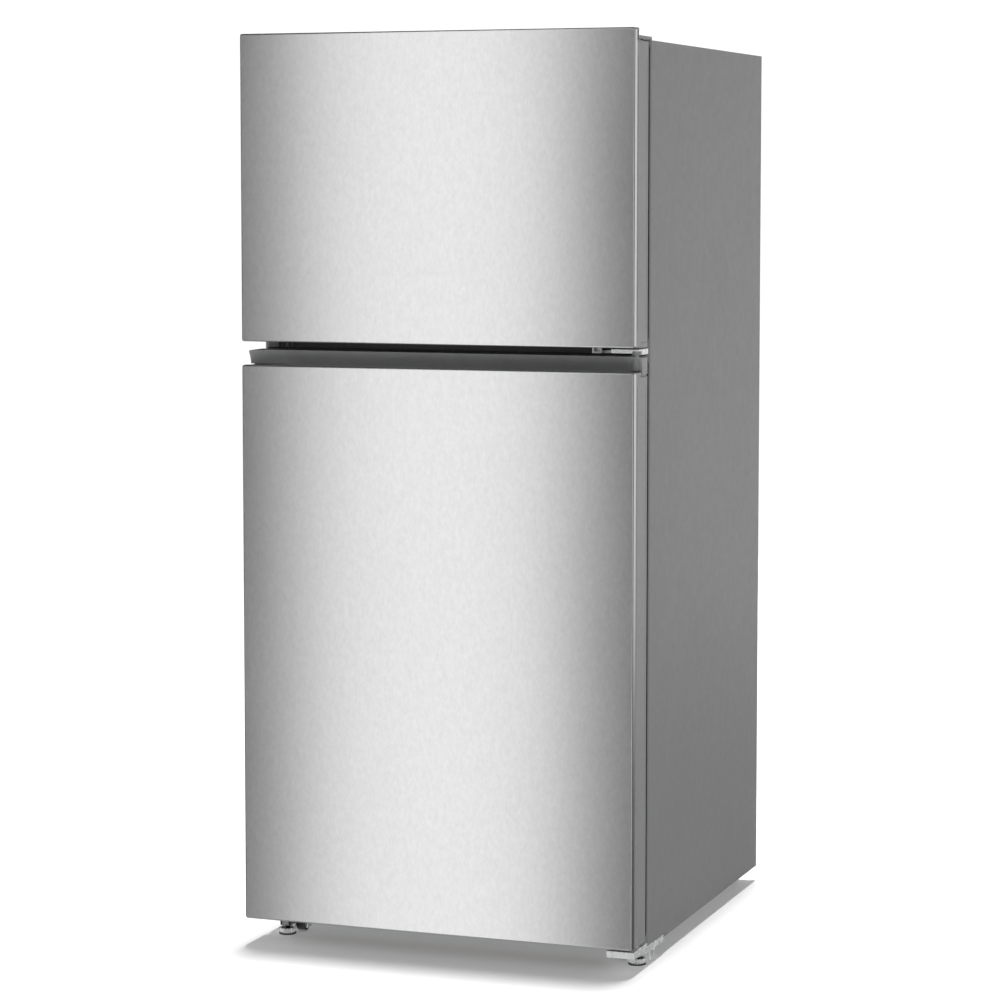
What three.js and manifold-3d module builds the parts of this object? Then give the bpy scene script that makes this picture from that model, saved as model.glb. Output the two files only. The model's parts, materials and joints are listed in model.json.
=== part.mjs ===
// Top freezer refrigerator, built as separate pieces in millimetres.
// +X is to the right as one faces the doors, +Y goes from the doors to the back, +Z is up.
// The origin is on the floor, under the middle of the width and of the depth.
import * as THREE from "three";
import { mergeVertices } from "three/addons/utils/BufferGeometryUtils.js";
import Module from "manifold-3d";

const wasm = await Module();
wasm.setup();

// ---------- driving dimensions ----------
const WIDTH = 752; // over the doors
const HEIGHT = 1680; // floor to the top of the upper door
const DEPTH = 846; // door front to cabinet back
const DOOR_DEPTH = 84; // door front to the back of its frame
const SEAL_GAP = 10; // space that the gasket fills between door and cabinet
const DOOR_CLEARANCE = 50; // floor to the lower edge of the lower door
const FREEZER_DOOR_BOTTOM = 1122;
const FRIDGE_SKIN_TOP = 1079;
const CABINET_TOP = 1661.5;
const CABINET_BOTTOM = 30;
const GAP = 0.3; // between pieces that touch on the real object
const SHEET = 1.2; // steel sheet
const PAST = 50; // how far a cutting shape runs past what it cuts

// ---------- worked out from them ----------
const HALF_DOOR = WIDTH / 2;
const HALF_CABINET = HALF_DOOR - 2;
const FRONT = -DEPTH / 2; // plane of the door fronts
const BACK = DEPTH / 2;
const CABINET_FRONT = FRONT + DOOR_DEPTH + SEAL_GAP;
const FREEZER_DOOR_HEIGHT = HEIGHT - FREEZER_DOOR_BOTTOM;
const FRIDGE_DOOR_HEIGHT = FRIDGE_SKIN_TOP - DOOR_CLEARANCE;
const LIP_HEIGHT = 22; // front lip of the upper door above the rest of its top
const LIP_DEPTH = 28;
const HANDLE_RISE = 26; // raised rear half of the lower door's handle cap
const HANDLE_REAR = 46; // where that raised half starts behind the door front
const PIN_X = HALF_DOOR - 13; // hinge axis
const PIN_Y = FRONT + 56;
const PIN_RADIUS = 5;
const PIN_HOLE_RADIUS = 5.6;
const WALL = 45; // foam and liner together at the sides
const LINER_THICKNESS = 2;
const LINER_HALF = HALF_CABINET - WALL + LINER_THICKNESS; // outside of the liners
const LINER_FRONT = CABINET_FRONT + SHEET + GAP;
const LINER_BACK = BACK - 66;
const LINER_INSIDE = LINER_HALF - LINER_THICKNESS;
const LINER_CORNER = 22;
const FREEZER_FLOOR = 1150;
const FREEZER_CEILING = 1611;
const FRIDGE_FLOOR = 95;
const FRIDGE_CEILING = 1078;
const HUMP_FRONT = 150; // step in the fresh-food liner over the machine compartment
const HUMP_TOP = 300;
const MACHINE_FRONT = HUMP_FRONT + 35;
const MACHINE_TOP = HUMP_TOP - 30;
const SHELF_FRONT = FRONT + 224;
const FOOT_RADIUS = 17;
const FOOT_IN = { left: 338, right: 352 }; // each foot's distance from the middle
const FOOT_Y = CABINET_FRONT + 14;
const ROLLER_RADIUS = 14;
const AXLE_RADIUS = 3.5;

// ---------- materials ----------
const material = (colour, roughness, metalness, opacity = 1) => () =>
  new THREE.MeshStandardMaterial({
    color: colour,
    roughness,
    metalness,
    opacity,
    transparent: opacity < 1,
  });
const stainless = material(0xc4c5c6, 0.34, 0.9);
const cabinetPaint = material(0x7c7d7e, 0.5, 0.25);
const framePaint = material(0x909192, 0.48, 0.25);
const greyPlastic = material(0x6b6c6e, 0.5, 0);
const darkPlastic = material(0x26272a, 0.5, 0);
const whitePlastic = material(0xeceeef, 0.3, 0);
const clearPlastic = material(0xdfe8ee, 0.12, 0, 0.4);
const glass = material(0xd3e4dd, 0.05, 0, 0.35);
const gasketRubber = material(0x3a3b3d, 0.7, 0);
const zincSteel = material(0xb9bbbc, 0.35, 0.9);
const blackSteel = material(0x1b1c1e, 0.45, 0.5);
const galvanised = material(0xa5a8aa, 0.5, 0.8);
const copper = material(0xb87446, 0.35, 0.9);
const aluminium = material(0xc8cacc, 0.4, 0.9);
const foam = material(0xd8c98f, 0.9, 0);

// ---------- solid modelling helpers ----------
function toSolid(geometry) {
  const bare = geometry.clone();
  bare.deleteAttribute("normal");
  bare.deleteAttribute("uv");
  const merged = mergeVertices(bare, 1e-3);
  return new wasm.Manifold(
    new wasm.Mesh({
      numProp: 3,
      vertProperties: merged.attributes.position.array,
      triVerts: new Uint32Array(merged.index.array),
    }),
  );
}

function toGeometry(solid) {
  const mesh = solid.getMesh();
  const geometry = new THREE.BufferGeometry();
  geometry.setAttribute("position", new THREE.BufferAttribute(mesh.vertProperties, 3));
  geometry.setIndex(new THREE.BufferAttribute(mesh.triVerts, 1));
  const flat = geometry.toNonIndexed();
  flat.computeVertexNormals();
  return flat;
}

const join = (...solids) => wasm.Manifold.union(solids);

// A box between two corners, given as ranges along X, Y and Z.
function block([x0, x1], [y0, y1], [z0, z1]) {
  const geometry = new THREE.BoxGeometry(x1 - x0, y1 - y0, z1 - z0);
  geometry.translate((x0 + x1) / 2, (y0 + y1) / 2, (z0 + z1) / 2);
  return toSolid(geometry);
}

// The shape's own axes for a sweep along X (shape is Y, Z), along Y (X, Z) or along Z (X, Y).
const SWEEPS = {
  x: new THREE.Matrix4().makeBasis(
    new THREE.Vector3(0, 1, 0),
    new THREE.Vector3(0, 0, 1),
    new THREE.Vector3(1, 0, 0),
  ),
  y: new THREE.Matrix4().makeBasis(
    new THREE.Vector3(1, 0, 0),
    new THREE.Vector3(0, 0, 1),
    new THREE.Vector3(0, -1, 0),
  ),
  z: new THREE.Matrix4(),
};

// Sweeps a flat shape along one axis, from one place to another.
// three.js draws each arc with twice as many steps as curveSegments says.
function sweep(shape, axis, [from, to], curveSegments = 2) {
  const geometry = new THREE.ExtrudeGeometry(shape, {
    depth: to - from,
    bevelEnabled: false,
    curveSegments,
  });
  geometry.applyMatrix4(SWEEPS[axis]);
  const shift = { x: [from, 0, 0], y: [0, to, 0], z: [0, 0, from] }[axis];
  geometry.translate(...shift);
  return toSolid(geometry);
}

function polygon(points) {
  return new THREE.Shape(points.map(([u, v]) => new THREE.Vector2(u, v)));
}

function roundedRectangle([u0, u1], [v0, v1], radius) {
  const shape = new THREE.Shape();
  const turn = Math.PI / 2;
  shape.moveTo(u0 + radius, v0);
  shape.absarc(u1 - radius, v0 + radius, radius, -turn, 0, false);
  shape.absarc(u1 - radius, v1 - radius, radius, 0, turn, false);
  shape.absarc(u0 + radius, v1 - radius, radius, turn, 2 * turn, false);
  shape.absarc(u0 + radius, v0 + radius, radius, 2 * turn, 3 * turn, false);
  shape.closePath();
  return shape;
}

// A round bar along one axis, about the point (u, v) of the plane across that axis.
function bar(axis, [u, v], radius, range, sides = 20) {
  const shape = new THREE.Shape();
  shape.absarc(u, v, radius, 0, 2 * Math.PI, false);
  return sweep(shape, axis, range, sides / 2);
}

// A round tube bent along a path of straight runs and arcs.
function tube(path, radius, steps, sides = 8) {
  const section = new THREE.Shape();
  section.absarc(0, 0, radius, 0, 2 * Math.PI, false);
  const geometry = new THREE.ExtrudeGeometry(section, {
    extrudePath: path,
    steps,
    curveSegments: sides / 2,
    bevelEnabled: false,
  });
  return toSolid(geometry);
}

const mirrorX = (solid) => solid.mirror([1, 0, 0]);

const fridge = new THREE.Group();

function addPiece(name, solid, makeMaterial, parent = fridge, position = [0, 0, 0]) {
  const mesh = new THREE.Mesh(toGeometry(solid), makeMaterial());
  mesh.name = name;
  mesh.position.set(...position);
  parent.add(mesh);
  return mesh;
}

// ---------- cabinet ----------
const FRAME_WIDTH = 30; // width of the steel front frame that the gaskets seal against
const SILL_HEIGHT = 45; // height of that frame's lower cross member
const BEND_RADIUS = 13; // bend between the cabinet's sides and its front frame
const INSIDE = HALF_CABINET - SHEET - GAP; // half width left inside the wrapper

// The cabinet's outline with its two front edges bent round.
// It is drawn past the back, so that the back can be cut square.
function cabinetColumn(inset, range) {
  const half = HALF_CABINET - inset;
  const depth = [CABINET_FRONT + inset, BACK + PAST];
  return sweep(roundedRectangle([-half, half], depth, BEND_RADIUS - inset), "z", range);
}

function cabinetWrapper() {
  const outside = cabinetColumn(0, [CABINET_BOTTOM, CABINET_TOP]);
  const inside = cabinetColumn(SHEET, [CABINET_BOTTOM - 1, CABINET_TOP - SHEET]);
  const pastBack = block([-HALF_DOOR, HALF_DOOR], [BACK, BACK + 2 * PAST], [0, HEIGHT]);
  const mouth = block(
    [-HALF_CABINET + FRAME_WIDTH, HALF_CABINET - FRAME_WIDTH],
    [CABINET_FRONT - 1, CABINET_FRONT + PAST],
    [CABINET_BOTTOM + SILL_HEIGHT, CABINET_TOP - FRAME_WIDTH],
  );
  return outside.subtract(inside).subtract(mouth).subtract(pastBack);
}

// The open box of one compartment, with its flange behind the steel front frame.
function linerBox(floor, ceiling) {
  const outer = roundedRectangle([-LINER_HALF, LINER_HALF], [floor, ceiling], LINER_CORNER);
  const inner = roundedRectangle(
    [-LINER_INSIDE, LINER_INSIDE],
    [floor + LINER_THICKNESS, ceiling - LINER_THICKNESS],
    LINER_CORNER - LINER_THICKNESS,
  );
  return {
    outer: sweep(outer, "y", [LINER_FRONT, LINER_BACK]),
    inner: sweep(inner, "y", [LINER_FRONT - 5, LINER_BACK - LINER_THICKNESS]),
  };
}

function linerFlange(floor, ceiling, reach) {
  return block(
    [-LINER_HALF - reach, LINER_HALF + reach],
    [LINER_FRONT, LINER_FRONT + LINER_THICKNESS],
    [floor - reach, ceiling + reach],
  );
}

const FLANGE_REACH = 20; // how far the liners' flanges stand out behind the front frame

function freezerLiner() {
  const { outer, inner } = linerBox(FREEZER_FLOOR, FREEZER_CEILING);
  return join(outer, linerFlange(FREEZER_FLOOR, FREEZER_CEILING, FLANGE_REACH)).subtract(inner);
}

// The step that lifts the fresh-food floor over the machine compartment.
function hump(clearance) {
  return block(
    [-LINER_HALF - 5, LINER_HALF + 5],
    [HUMP_FRONT - clearance, BACK],
    [FRIDGE_FLOOR - 5, HUMP_TOP + clearance],
  );
}

const SHELF_LEVELS = [620, 830];
const CRISPER_LID_LEVEL = 334;
const LEDGE = 7; // how far the moulded shelf ledges stand out of the liner wall
const SHELF_SKIRT = 6; // the shelf frames' depth under their glass

function shelfLedges(level) {
  const right = block(
    [LINER_INSIDE - LEDGE, LINER_INSIDE + 1],
    [SHELF_FRONT + 10, LINER_BACK - 20],
    [level - 2 * SHELF_SKIRT, level - SHELF_SKIRT],
  );
  return join(right, mirrorX(right));
}

function fridgeLiner() {
  const { outer, inner } = linerBox(FRIDGE_FLOOR, FRIDGE_CEILING);
  const shell = join(
    outer.subtract(hump(0)),
    linerFlange(FRIDGE_FLOOR, FRIDGE_CEILING, FLANGE_REACH - 2),
  ).subtract(inner.subtract(hump(LINER_THICKNESS)));
  return join(shell, ...[CRISPER_LID_LEVEL, ...SHELF_LEVELS].map(shelfLedges));
}

const DECK_THICKNESS = 2;
const DECK_TOP = CABINET_BOTTOM + GAP + DECK_THICKNESS;

function cabinetFoam() {
  const front = LINER_FRONT + LINER_THICKNESS + GAP;
  const fill = block(
    [-INSIDE, INSIDE],
    [front + BEND_RADIUS, BACK - 6],
    [DECK_TOP + GAP, CABINET_TOP - SHEET - GAP],
  );
  const cavity = (floor, ceiling) =>
    sweep(
      roundedRectangle(
        [-LINER_HALF - GAP, LINER_HALF + GAP],
        [floor - GAP, ceiling + GAP],
        LINER_CORNER + GAP,
      ),
      "y",
      [front - 1, LINER_BACK + GAP],
    );
  const machineRoom = block(
    [-INSIDE - 1, INSIDE + 1],
    [MACHINE_FRONT, BACK],
    [CABINET_BOTTOM, MACHINE_TOP],
  );
  return fill
    .subtract(cavity(FREEZER_FLOOR, FREEZER_CEILING))
    .subtract(cavity(FRIDGE_FLOOR, FRIDGE_CEILING).subtract(hump(-GAP)))
    .subtract(machineRoom);
}

const RAIL_BOTTOM = FRIDGE_CEILING + FLANGE_REACH;
const RAIL_TOP = FREEZER_FLOOR - FLANGE_REACH;

// Channel between the compartments that carries the centre hinge and both gaskets.
function centreRail() {
  const half = HALF_CABINET - FRAME_WIDTH - GAP;
  const wall = 1.5;
  const clearance = 4; // to the liners' flanges
  const face = block(
    [-half, half],
    [CABINET_FRONT, CABINET_FRONT + SHEET],
    [FRIDGE_CEILING + 1, FREEZER_FLOOR - 1],
  );
  const web = block(
    [-half, half],
    [CABINET_FRONT, CABINET_FRONT + BEND_RADIUS],
    [RAIL_BOTTOM + clearance, RAIL_TOP - clearance],
  );
  const hollow = block(
    [-half + 2 * wall, half - 2 * wall],
    [CABINET_FRONT + SHEET, BACK],
    [RAIL_BOTTOM + clearance + wall, RAIL_TOP - clearance - wall],
  );
  return join(face, web).subtract(hollow);
}

const REAR_RECESS = 4; // how far the rear sheets lie inside the cabinet's back edge

// Rear wall with pressed vertical ribs.
function backPanel() {
  const face = BACK - REAR_RECESS;
  const sheet = block([-INSIDE, INSIDE], [face - 1, face], [MACHINE_TOP + 6, CABINET_TOP - SHEET - GAP]);
  const pitch = 160;
  const [footHalf, crestHalf, height] = [22, 16, 3];
  const endMargin = 60;
  const ribs = [-1.5, -0.5, 0.5, 1.5].map((step) => {
    const x = step * pitch;
    const section = polygon([
      [x - footHalf, face - 0.2],
      [x + footHalf, face - 0.2],
      [x + crestHalf, face + height],
      [x - crestHalf, face + height],
    ]);
    return sweep(section, "z", [MACHINE_TOP + endMargin, CABINET_TOP - endMargin]);
  });
  return join(sheet, ...ribs);
}

const REAR_AXLE_Y = BACK - 34;
const REAR_ROLLER_X = 330;
const EAR_GAP = 11; // roller centre to the inside of each ear
const EAR_SHEET = 2.5;
const EAR_HALF = 9;

// A pair of upright ears with the axle between them.
function axleEars([x, y], centre, top) {
  const ear = (from) =>
    block([from, from + EAR_SHEET], [y - EAR_HALF, y + EAR_HALF], [centre - EAR_HALF + 2, top]);
  return join(
    ear(x - EAR_GAP - EAR_SHEET),
    ear(x + EAR_GAP),
    bar("x", [y, centre], AXLE_RADIUS, [x - EAR_GAP - 1, x + EAR_GAP + 1], 8),
  );
}

function baseDeck() {
  const depth = [CABINET_FRONT + 22, BACK - 6];
  const deck = block([-INSIDE, INSIDE], depth, [CABINET_BOTTOM + GAP, DECK_TOP]);
  const rightEars = axleEars([REAR_ROLLER_X, REAR_AXLE_Y], ROLLER_RADIUS, DECK_TOP - 0.5);
  return join(deck, rightEars, mirrorX(rightEars));
}

// ---------- hinges and front brackets ----------
const HINGE_SHEET = 2.5;
const PIN_DEPTH = 22; // how far a hinge pin reaches into its door

// A tapered plate screwed to the cabinet's top, with a rounded nose over the pin.
function topHinge() {
  const plate = new THREE.Shape();
  const noseRadius = 13;
  const noseX = PIN_X + PIN_RADIUS - noseRadius;
  const plateBack = CABINET_FRONT + 26;
  plate.moveTo(HALF_CABINET - 66, plateBack);
  plate.lineTo(noseX - noseRadius, PIN_Y);
  plate.absarc(noseX, PIN_Y, noseRadius, Math.PI, 2 * Math.PI, false);
  plate.lineTo(HALF_CABINET - 8, plateBack);
  plate.closePath();
  const bottom = CABINET_TOP + GAP;
  return join(
    sweep(plate, "z", [bottom, bottom + HINGE_SHEET]),
    bar("z", [PIN_X, PIN_Y], PIN_RADIUS, [bottom - PIN_DEPTH, bottom + 1], 8),
  );
}

function topHingeCover() {
  const plan = (inset) =>
    roundedRectangle(
      [HALF_CABINET - 78 + inset, HALF_CABINET - 4 - inset],
      [PIN_Y - 23 + inset, CABINET_FRONT + 30 - inset],
      6 - inset,
    );
  const wall = 1.5;
  const bottom = CABINET_TOP + GAP;
  const top = bottom + 6.4;
  const cover = sweep(plan(0), "z", [bottom, top]);
  const hollow = sweep(plan(wall), "z", [bottom - 1, top - wall]);
  return cover.subtract(hollow);
}

const CENTRE_PLATE = FREEZER_DOOR_BOTTOM - 7; // underside of the centre hinge plate

const COLLAR_RADIUS = 9;
const SLEEVE_RADIUS = 7;

// An upright strap on the centre rail that ends in a U-shaped hook, left of the hinge itself.
function hingeStrap(back) {
  const [left, right] = [PIN_X - 91, PIN_X - 73];
  const [bottom, top] = [CENTRE_PLATE - 7, CENTRE_PLATE + 5];
  const wall = 3.5;
  const hook = block([left, right], [back - 12, back], [bottom, top]);
  const slotDepth = [back - 13, back - HINGE_SHEET];
  const slot = block([left + wall, right - wall], slotDepth, [bottom + wall, top + 1]);
  const strap = block([left, PIN_X - 40], [back - HINGE_SHEET, back], [bottom, bottom + 5]);
  return join(hook.subtract(slot), strap);
}

// A plate folded down along its front and its side, with one pin that serves both doors.
function centreHinge() {
  const front = PIN_Y - 16;
  const back = CABINET_FRONT - GAP;
  const left = PIN_X - 42;
  const right = HALF_CABINET - 1;
  const [under, over] = [CENTRE_PLATE, CENTRE_PLATE + 3];
  const plate = block([left, right], [front, back], [under, over]);
  const apron = block([left, PIN_X - 3], [front, front + HINGE_SHEET], [under - 4, over]);
  const side = block([right - HINGE_SHEET, right], [PIN_Y, back], [under - 7, over]);
  const flange = block([left, right], [back - HINGE_SHEET, back], [under - 7, over]);
  const pins = bar("z", [PIN_X, PIN_Y], PIN_RADIUS, [under - PIN_DEPTH - 6, over + PIN_DEPTH + 1], 8);
  const sleeve = bar("z", [PIN_X, PIN_Y], SLEEVE_RADIUS, [under - 8, over + 2], 12);
  return join(plate, apron, side, flange, pins, sleeve, hingeStrap(back));
}

const BRACKET_TOP = CABINET_BOTTOM - GAP;
const BRACKET_INNER = 318;
const BRACKET_OUTER = HALF_CABINET - 2;
const BRACKET_SHEET = 2.5;
const FRONT_AXLE_Y = FOOT_Y + 32;
const FRONT_ROLLER_IN = 320; // each front roller's distance from the middle
const FRONT_AXLE_Z = ROLLER_RADIUS + 1;
const THREAD_HOLE_RADIUS = 5.4;

// Foot block and roller ears under the cabinet's front corner.
function frontBracket(footX) {
  const deck = block(
    [302, BRACKET_OUTER],
    [CABINET_FRONT + 1, FRONT_AXLE_Y + 34],
    [BRACKET_TOP - BRACKET_SHEET, BRACKET_TOP],
  );
  const wheelWell = block(
    [FRONT_ROLLER_IN - EAR_GAP, FRONT_ROLLER_IN + EAR_GAP],
    [FRONT_AXLE_Y - ROLLER_RADIUS - 2, FRONT_AXLE_Y + ROLLER_RADIUS + 2],
    [BRACKET_TOP - BRACKET_SHEET - 1, BRACKET_TOP + 1],
  );
  const blockHalf = 10;
  const footBlock = block(
    [footX - blockHalf, footX + blockHalf],
    [FOOT_Y - blockHalf, FOOT_Y + blockHalf],
    [BRACKET_TOP - 12, BRACKET_TOP - 1],
  );
  const thread = bar("z", [footX, FOOT_Y], THREAD_HOLE_RADIUS, [0, CABINET_BOTTOM + 5], 8);
  const ears = axleEars([FRONT_ROLLER_IN, FRONT_AXLE_Y], FRONT_AXLE_Z, BRACKET_TOP - 1);
  return join(deck.subtract(wheelWell), footBlock, ears).subtract(thread);
}

const ARM_SHEET = 1.6;
const ARM_OUTSIDE = HALF_CABINET + GAP + ARM_SHEET;
const ARM_BACK = FOOT_Y + 86;
const ARM_TOP = CABINET_BOTTOM + 6;

// Arm along the outside of the cabinet's lower edge, which dips to a V-shaped loop.
function hingeArm(front, top) {
  const dip = FOOT_Y + 14; // depth of the loop's lowest point
  const loopBottom = 7;
  const outline = polygon([
    [front, top],
    [front, ARM_TOP - 4],
    [dip - 20, ARM_TOP - 9],
    [dip - 5, loopBottom],
    [dip + 5, loopBottom],
    [dip + 22, ARM_TOP - 10],
    [ARM_BACK, ARM_TOP - 13],
    [ARM_BACK, ARM_TOP],
    [CABINET_FRONT, ARM_TOP + 1],
    [CABINET_FRONT - 12, top],
  ]);
  const window = polygon([
    [dip - 10, ARM_TOP - 11],
    [dip - 2, loopBottom + 4],
    [dip + 3, loopBottom + 4],
    [dip + 12, ARM_TOP - 11],
  ]);
  const range = [ARM_OUTSIDE - ARM_SHEET, ARM_OUTSIDE];
  return sweep(outline, "x", range).subtract(sweep(window, "x", [HALF_CABINET, HALF_CABINET + 5]));
}

// The right bracket carries an angle plate with the lower door's pin.
function bottomHinge() {
  const top = DOOR_CLEARANCE - 6;
  const under = top - 3;
  const front = FRONT + 12;
  const back = CABINET_FRONT - GAP;
  const left = PIN_X - 38;
  const plate = block([left, ARM_OUTSIDE], [front, back], [under, top]);
  const apron = block([left, ARM_OUTSIDE], [front, front + HINGE_SHEET], [top - 11.5, top]);
  const web = block([BRACKET_INNER, ARM_OUTSIDE], [back - 3, back], [BRACKET_TOP - 5, top]);
  const tie = block(
    [BRACKET_INNER, BRACKET_OUTER],
    [back - 1, CABINET_FRONT + 2],
    [BRACKET_TOP - BRACKET_SHEET, BRACKET_TOP],
  );
  const pin = bar("z", [PIN_X, PIN_Y], PIN_RADIUS, [top - 1, top + PIN_DEPTH], 8);
  const collar = bar("z", [PIN_X, PIN_Y], COLLAR_RADIUS, [top - 1, top + 4], 10);
  const arm = hingeArm(front, top);
  return join(frontBracket(FOOT_IN.right), plate, apron, web, tie, pin, collar, arm);
}

function leftBracket() {
  return mirrorX(frontBracket(FOOT_IN.left));
}

// ---------- feet and rollers ----------
// A toothed disc on a threaded stem, about its own axis, resting on the floor.
function levellingFoot() {
  const teeth = 18;
  const toothDepth = 2;
  const [discBottom, discTop] = [1.5, 12];
  const rim = new THREE.Shape();
  for (let i = 0; i < teeth * 2; i++) {
    const angle = (i * Math.PI) / teeth;
    const radius = i % 2 ? FOOT_RADIUS - toothDepth : FOOT_RADIUS;
    const point = [radius * Math.cos(angle), radius * Math.sin(angle)];
    if (i) rim.lineTo(...point);
    else rim.moveTo(...point);
  }
  rim.closePath();
  return join(
    sweep(rim, "z", [discBottom, discTop]),
    bar("z", [0, 0], FOOT_RADIUS - toothDepth - 1, [0, discBottom + 0.5], 12),
    bar("z", [0, 0], THREAD_HOLE_RADIUS - 0.6, [discTop - 1, BRACKET_TOP - 0.5], 8),
  );
}

// A wheel with chamfered edges, about its own axis.
function roller() {
  const half = 9;
  const bore = AXLE_RADIUS + 0.7;
  const chamfer = 2;
  const profile = [
    [bore, -half],
    [ROLLER_RADIUS - chamfer, -half],
    [ROLLER_RADIUS, -half + chamfer],
    [ROLLER_RADIUS, half - chamfer],
    [ROLLER_RADIUS - chamfer, half],
    [bore, half],
    [bore, -half],
  ];
  const rim = new THREE.LatheGeometry(profile.map(([r, x]) => new THREE.Vector2(r, x)), 20);
  rim.rotateZ(Math.PI / 2);
  return toSolid(rim);
}

// ---------- machine compartment ----------
const MACHINE_FLOOR = DECK_TOP + GAP;
const MACHINE_MIDDLE = (MACHINE_FRONT + BACK) / 2 - 6; // depth at which the machinery is centred
const COMPRESSOR_X = -190;

// A welded pot with a seam round its waist, on a base plate with four rubber mounts.
function compressor() {
  const [potHeight, waist, seamHalf] = [167, 74, 4];
  const [footRadius, bodyRadius, seamRadius] = [70, 86, 90];
  const profile = new THREE.Path();
  profile.moveTo(0, 0);
  profile.lineTo(footRadius, 0);
  profile.lineTo(bodyRadius - 4, 24);
  profile.lineTo(bodyRadius, waist - seamHalf);
  profile.lineTo(seamRadius, waist);
  profile.lineTo(bodyRadius, waist + seamHalf);
  profile.quadraticCurveTo(bodyRadius - 2, 150, 30, potHeight - 2);
  profile.lineTo(0, potHeight);
  const pot = new THREE.LatheGeometry(profile.getPoints(6), 20);
  pot.rotateX(Math.PI / 2);
  pot.translate(COMPRESSOR_X, MACHINE_MIDDLE, MACHINE_FLOOR + 16);
  const [baseHalfWidth, baseHalfDepth] = [100, 62];
  const base = sweep(
    roundedRectangle(
      [COMPRESSOR_X - baseHalfWidth, COMPRESSOR_X + baseHalfWidth],
      [MACHINE_MIDDLE - baseHalfDepth, MACHINE_MIDDLE + baseHalfDepth],
      12,
    ),
    "z",
    [MACHINE_FLOOR + 12, MACHINE_FLOOR + 18],
  );
  const mounts = [-1, 1].flatMap((sideX) =>
    [-1, 1].map((sideY) => {
      const x = COMPRESSOR_X + sideX * (baseHalfWidth - 15);
      const y = MACHINE_MIDDLE + sideY * (baseHalfDepth - 16);
      return bar("z", [x, y], 10, [MACHINE_FLOOR, MACHINE_FLOOR + 13], 6);
    }),
  );
  const outletPlace = [COMPRESSOR_X, MACHINE_MIDDLE - 60];
  const outlet = bar("z", outletPlace, 4, [MACHINE_FLOOR + 100, MACHINE_FLOOR + 200], 6);
  return join(toSolid(pot), base, outlet, ...mounts);
}

// Serpentine of straight runs joined by half turns, in the plane across Y.
function serpentine({ x0, x1, z0, pitch, runs }) {
  const path = new THREE.CurvePath();
  const point = (x, z) => new THREE.Vector3(x, 0, z);
  const bow = pitch * 0.66;
  for (let i = 0; i < runs; i++) {
    const z = z0 + i * pitch;
    const [from, to] = i % 2 ? [x1, x0] : [x0, x1];
    path.add(new THREE.LineCurve3(point(from, z), point(to, z)));
    const out = to + (i % 2 ? -bow : bow);
    if (i < runs - 1) {
      path.add(
        new THREE.CubicBezierCurve3(point(to, z), point(out, z), point(out, z + pitch), point(to, z + pitch)),
      );
    }
  }
  return path;
}

// A bent coil held by three upright plates.
function condenser() {
  const runs = 5;
  const pitch = 34;
  const tubeRadius = 4;
  const z0 = MACHINE_FLOOR + 52;
  const y = BACK - 60;
  const [x0, x1] = [96, 290];
  const coil = tube(serpentine({ x0, x1, z0, pitch, runs }), tubeRadius, 64, 6).translate([0, y, 0]);
  const height = [z0 - 16, z0 + pitch * (runs - 1) + 14];
  const plates = [24, 97, 170].map((step) =>
    block([x0 + step, x0 + step + 1.5], [y - 3 * tubeRadius, y + 3 * tubeRadius], height),
  );
  return join(coil, ...plates);
}

function drainPan() {
  const [wall, height, corner] = [3, 34, 16];
  const [x0, x1] = [60, 330];
  const [y0, y1] = [MACHINE_FRONT + 12, BACK - 80];
  const plan = (inset) =>
    roundedRectangle([x0 + inset, x1 - inset], [y0 + inset, y1 - inset], corner - inset);
  const tray = sweep(plan(0), "z", [MACHINE_FLOOR, MACHINE_FLOOR + height]);
  const inside = sweep(plan(wall), "z", [MACHINE_FLOOR + wall, MACHINE_FLOOR + height + 6]);
  return tray.subtract(inside);
}

// Propeller about its own axis, along X, with twisted blades.
function fan(radius, bladeCount) {
  const hubHalf = 9;
  const bladeTwist = 32;
  const hub = bar("x", [0, 0], radius * 0.28, [-hubHalf, hubHalf], 10);
  const blade = block([-1, 1], [radius * 0.2, radius], [-radius * 0.26, radius * 0.26]).rotate([
    0,
    bladeTwist,
    0,
  ]);
  const blades = Array.from({ length: bladeCount }, (_, i) => blade.rotate([(360 * i) / bladeCount, 0, 0]));
  return join(hub, ...blades);
}

const CONDENSER_FAN_RADIUS = 66;
const CONDENSER_FAN_PLACE = [-2, MACHINE_MIDDLE, MACHINE_FLOOR + 108];

// Upright plate with a round mouth, and a motor can on a cross bar behind the fan.
function condenserFanMotor() {
  const [x, y, z] = CONDENSER_FAN_PLACE;
  const half = 92;
  const plateLeft = x - 28;
  const mouth = bar("x", [y, z], CONDENSER_FAN_RADIUS + 8, [x - 40, x], 14);
  const plate = block([plateLeft, plateLeft + 4], [y - half, y + half], [MACHINE_FLOOR, z + half]);
  const crossBar = block([plateLeft, plateLeft + 3], [y - half, y + half], [z - 7, z + 7]);
  const can = bar("x", [y, z], 24, [x - 50, x - 12], 10);
  return join(plate.subtract(mouth), crossBar, can);
}

// Pressed rear cover with rows of louvre slots.
function machineCover() {
  const face = BACK - REAR_RECESS;
  const panel = block(
    [-INSIDE + 8, INSIDE - 8],
    [face - 1.5, face],
    [MACHINE_FLOOR + 4, MACHINE_TOP + 5],
  );
  const [columns, rows] = [4, 7];
  const [columnPitch, rowPitch] = [160, 22];
  const [slotWidth, slotHeight] = [120, 9];
  const slots = [];
  for (let column = 0; column < columns; column++) {
    const x = -300 + column * columnPitch;
    for (let row = 0; row < rows; row++) {
      const z = MACHINE_FLOOR + 46 + row * rowPitch;
      slots.push(block([x, x + slotWidth], [face - 5, face + 5], [z, z + slotHeight]));
    }
  }
  return panel.subtract(join(...slots));
}

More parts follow.
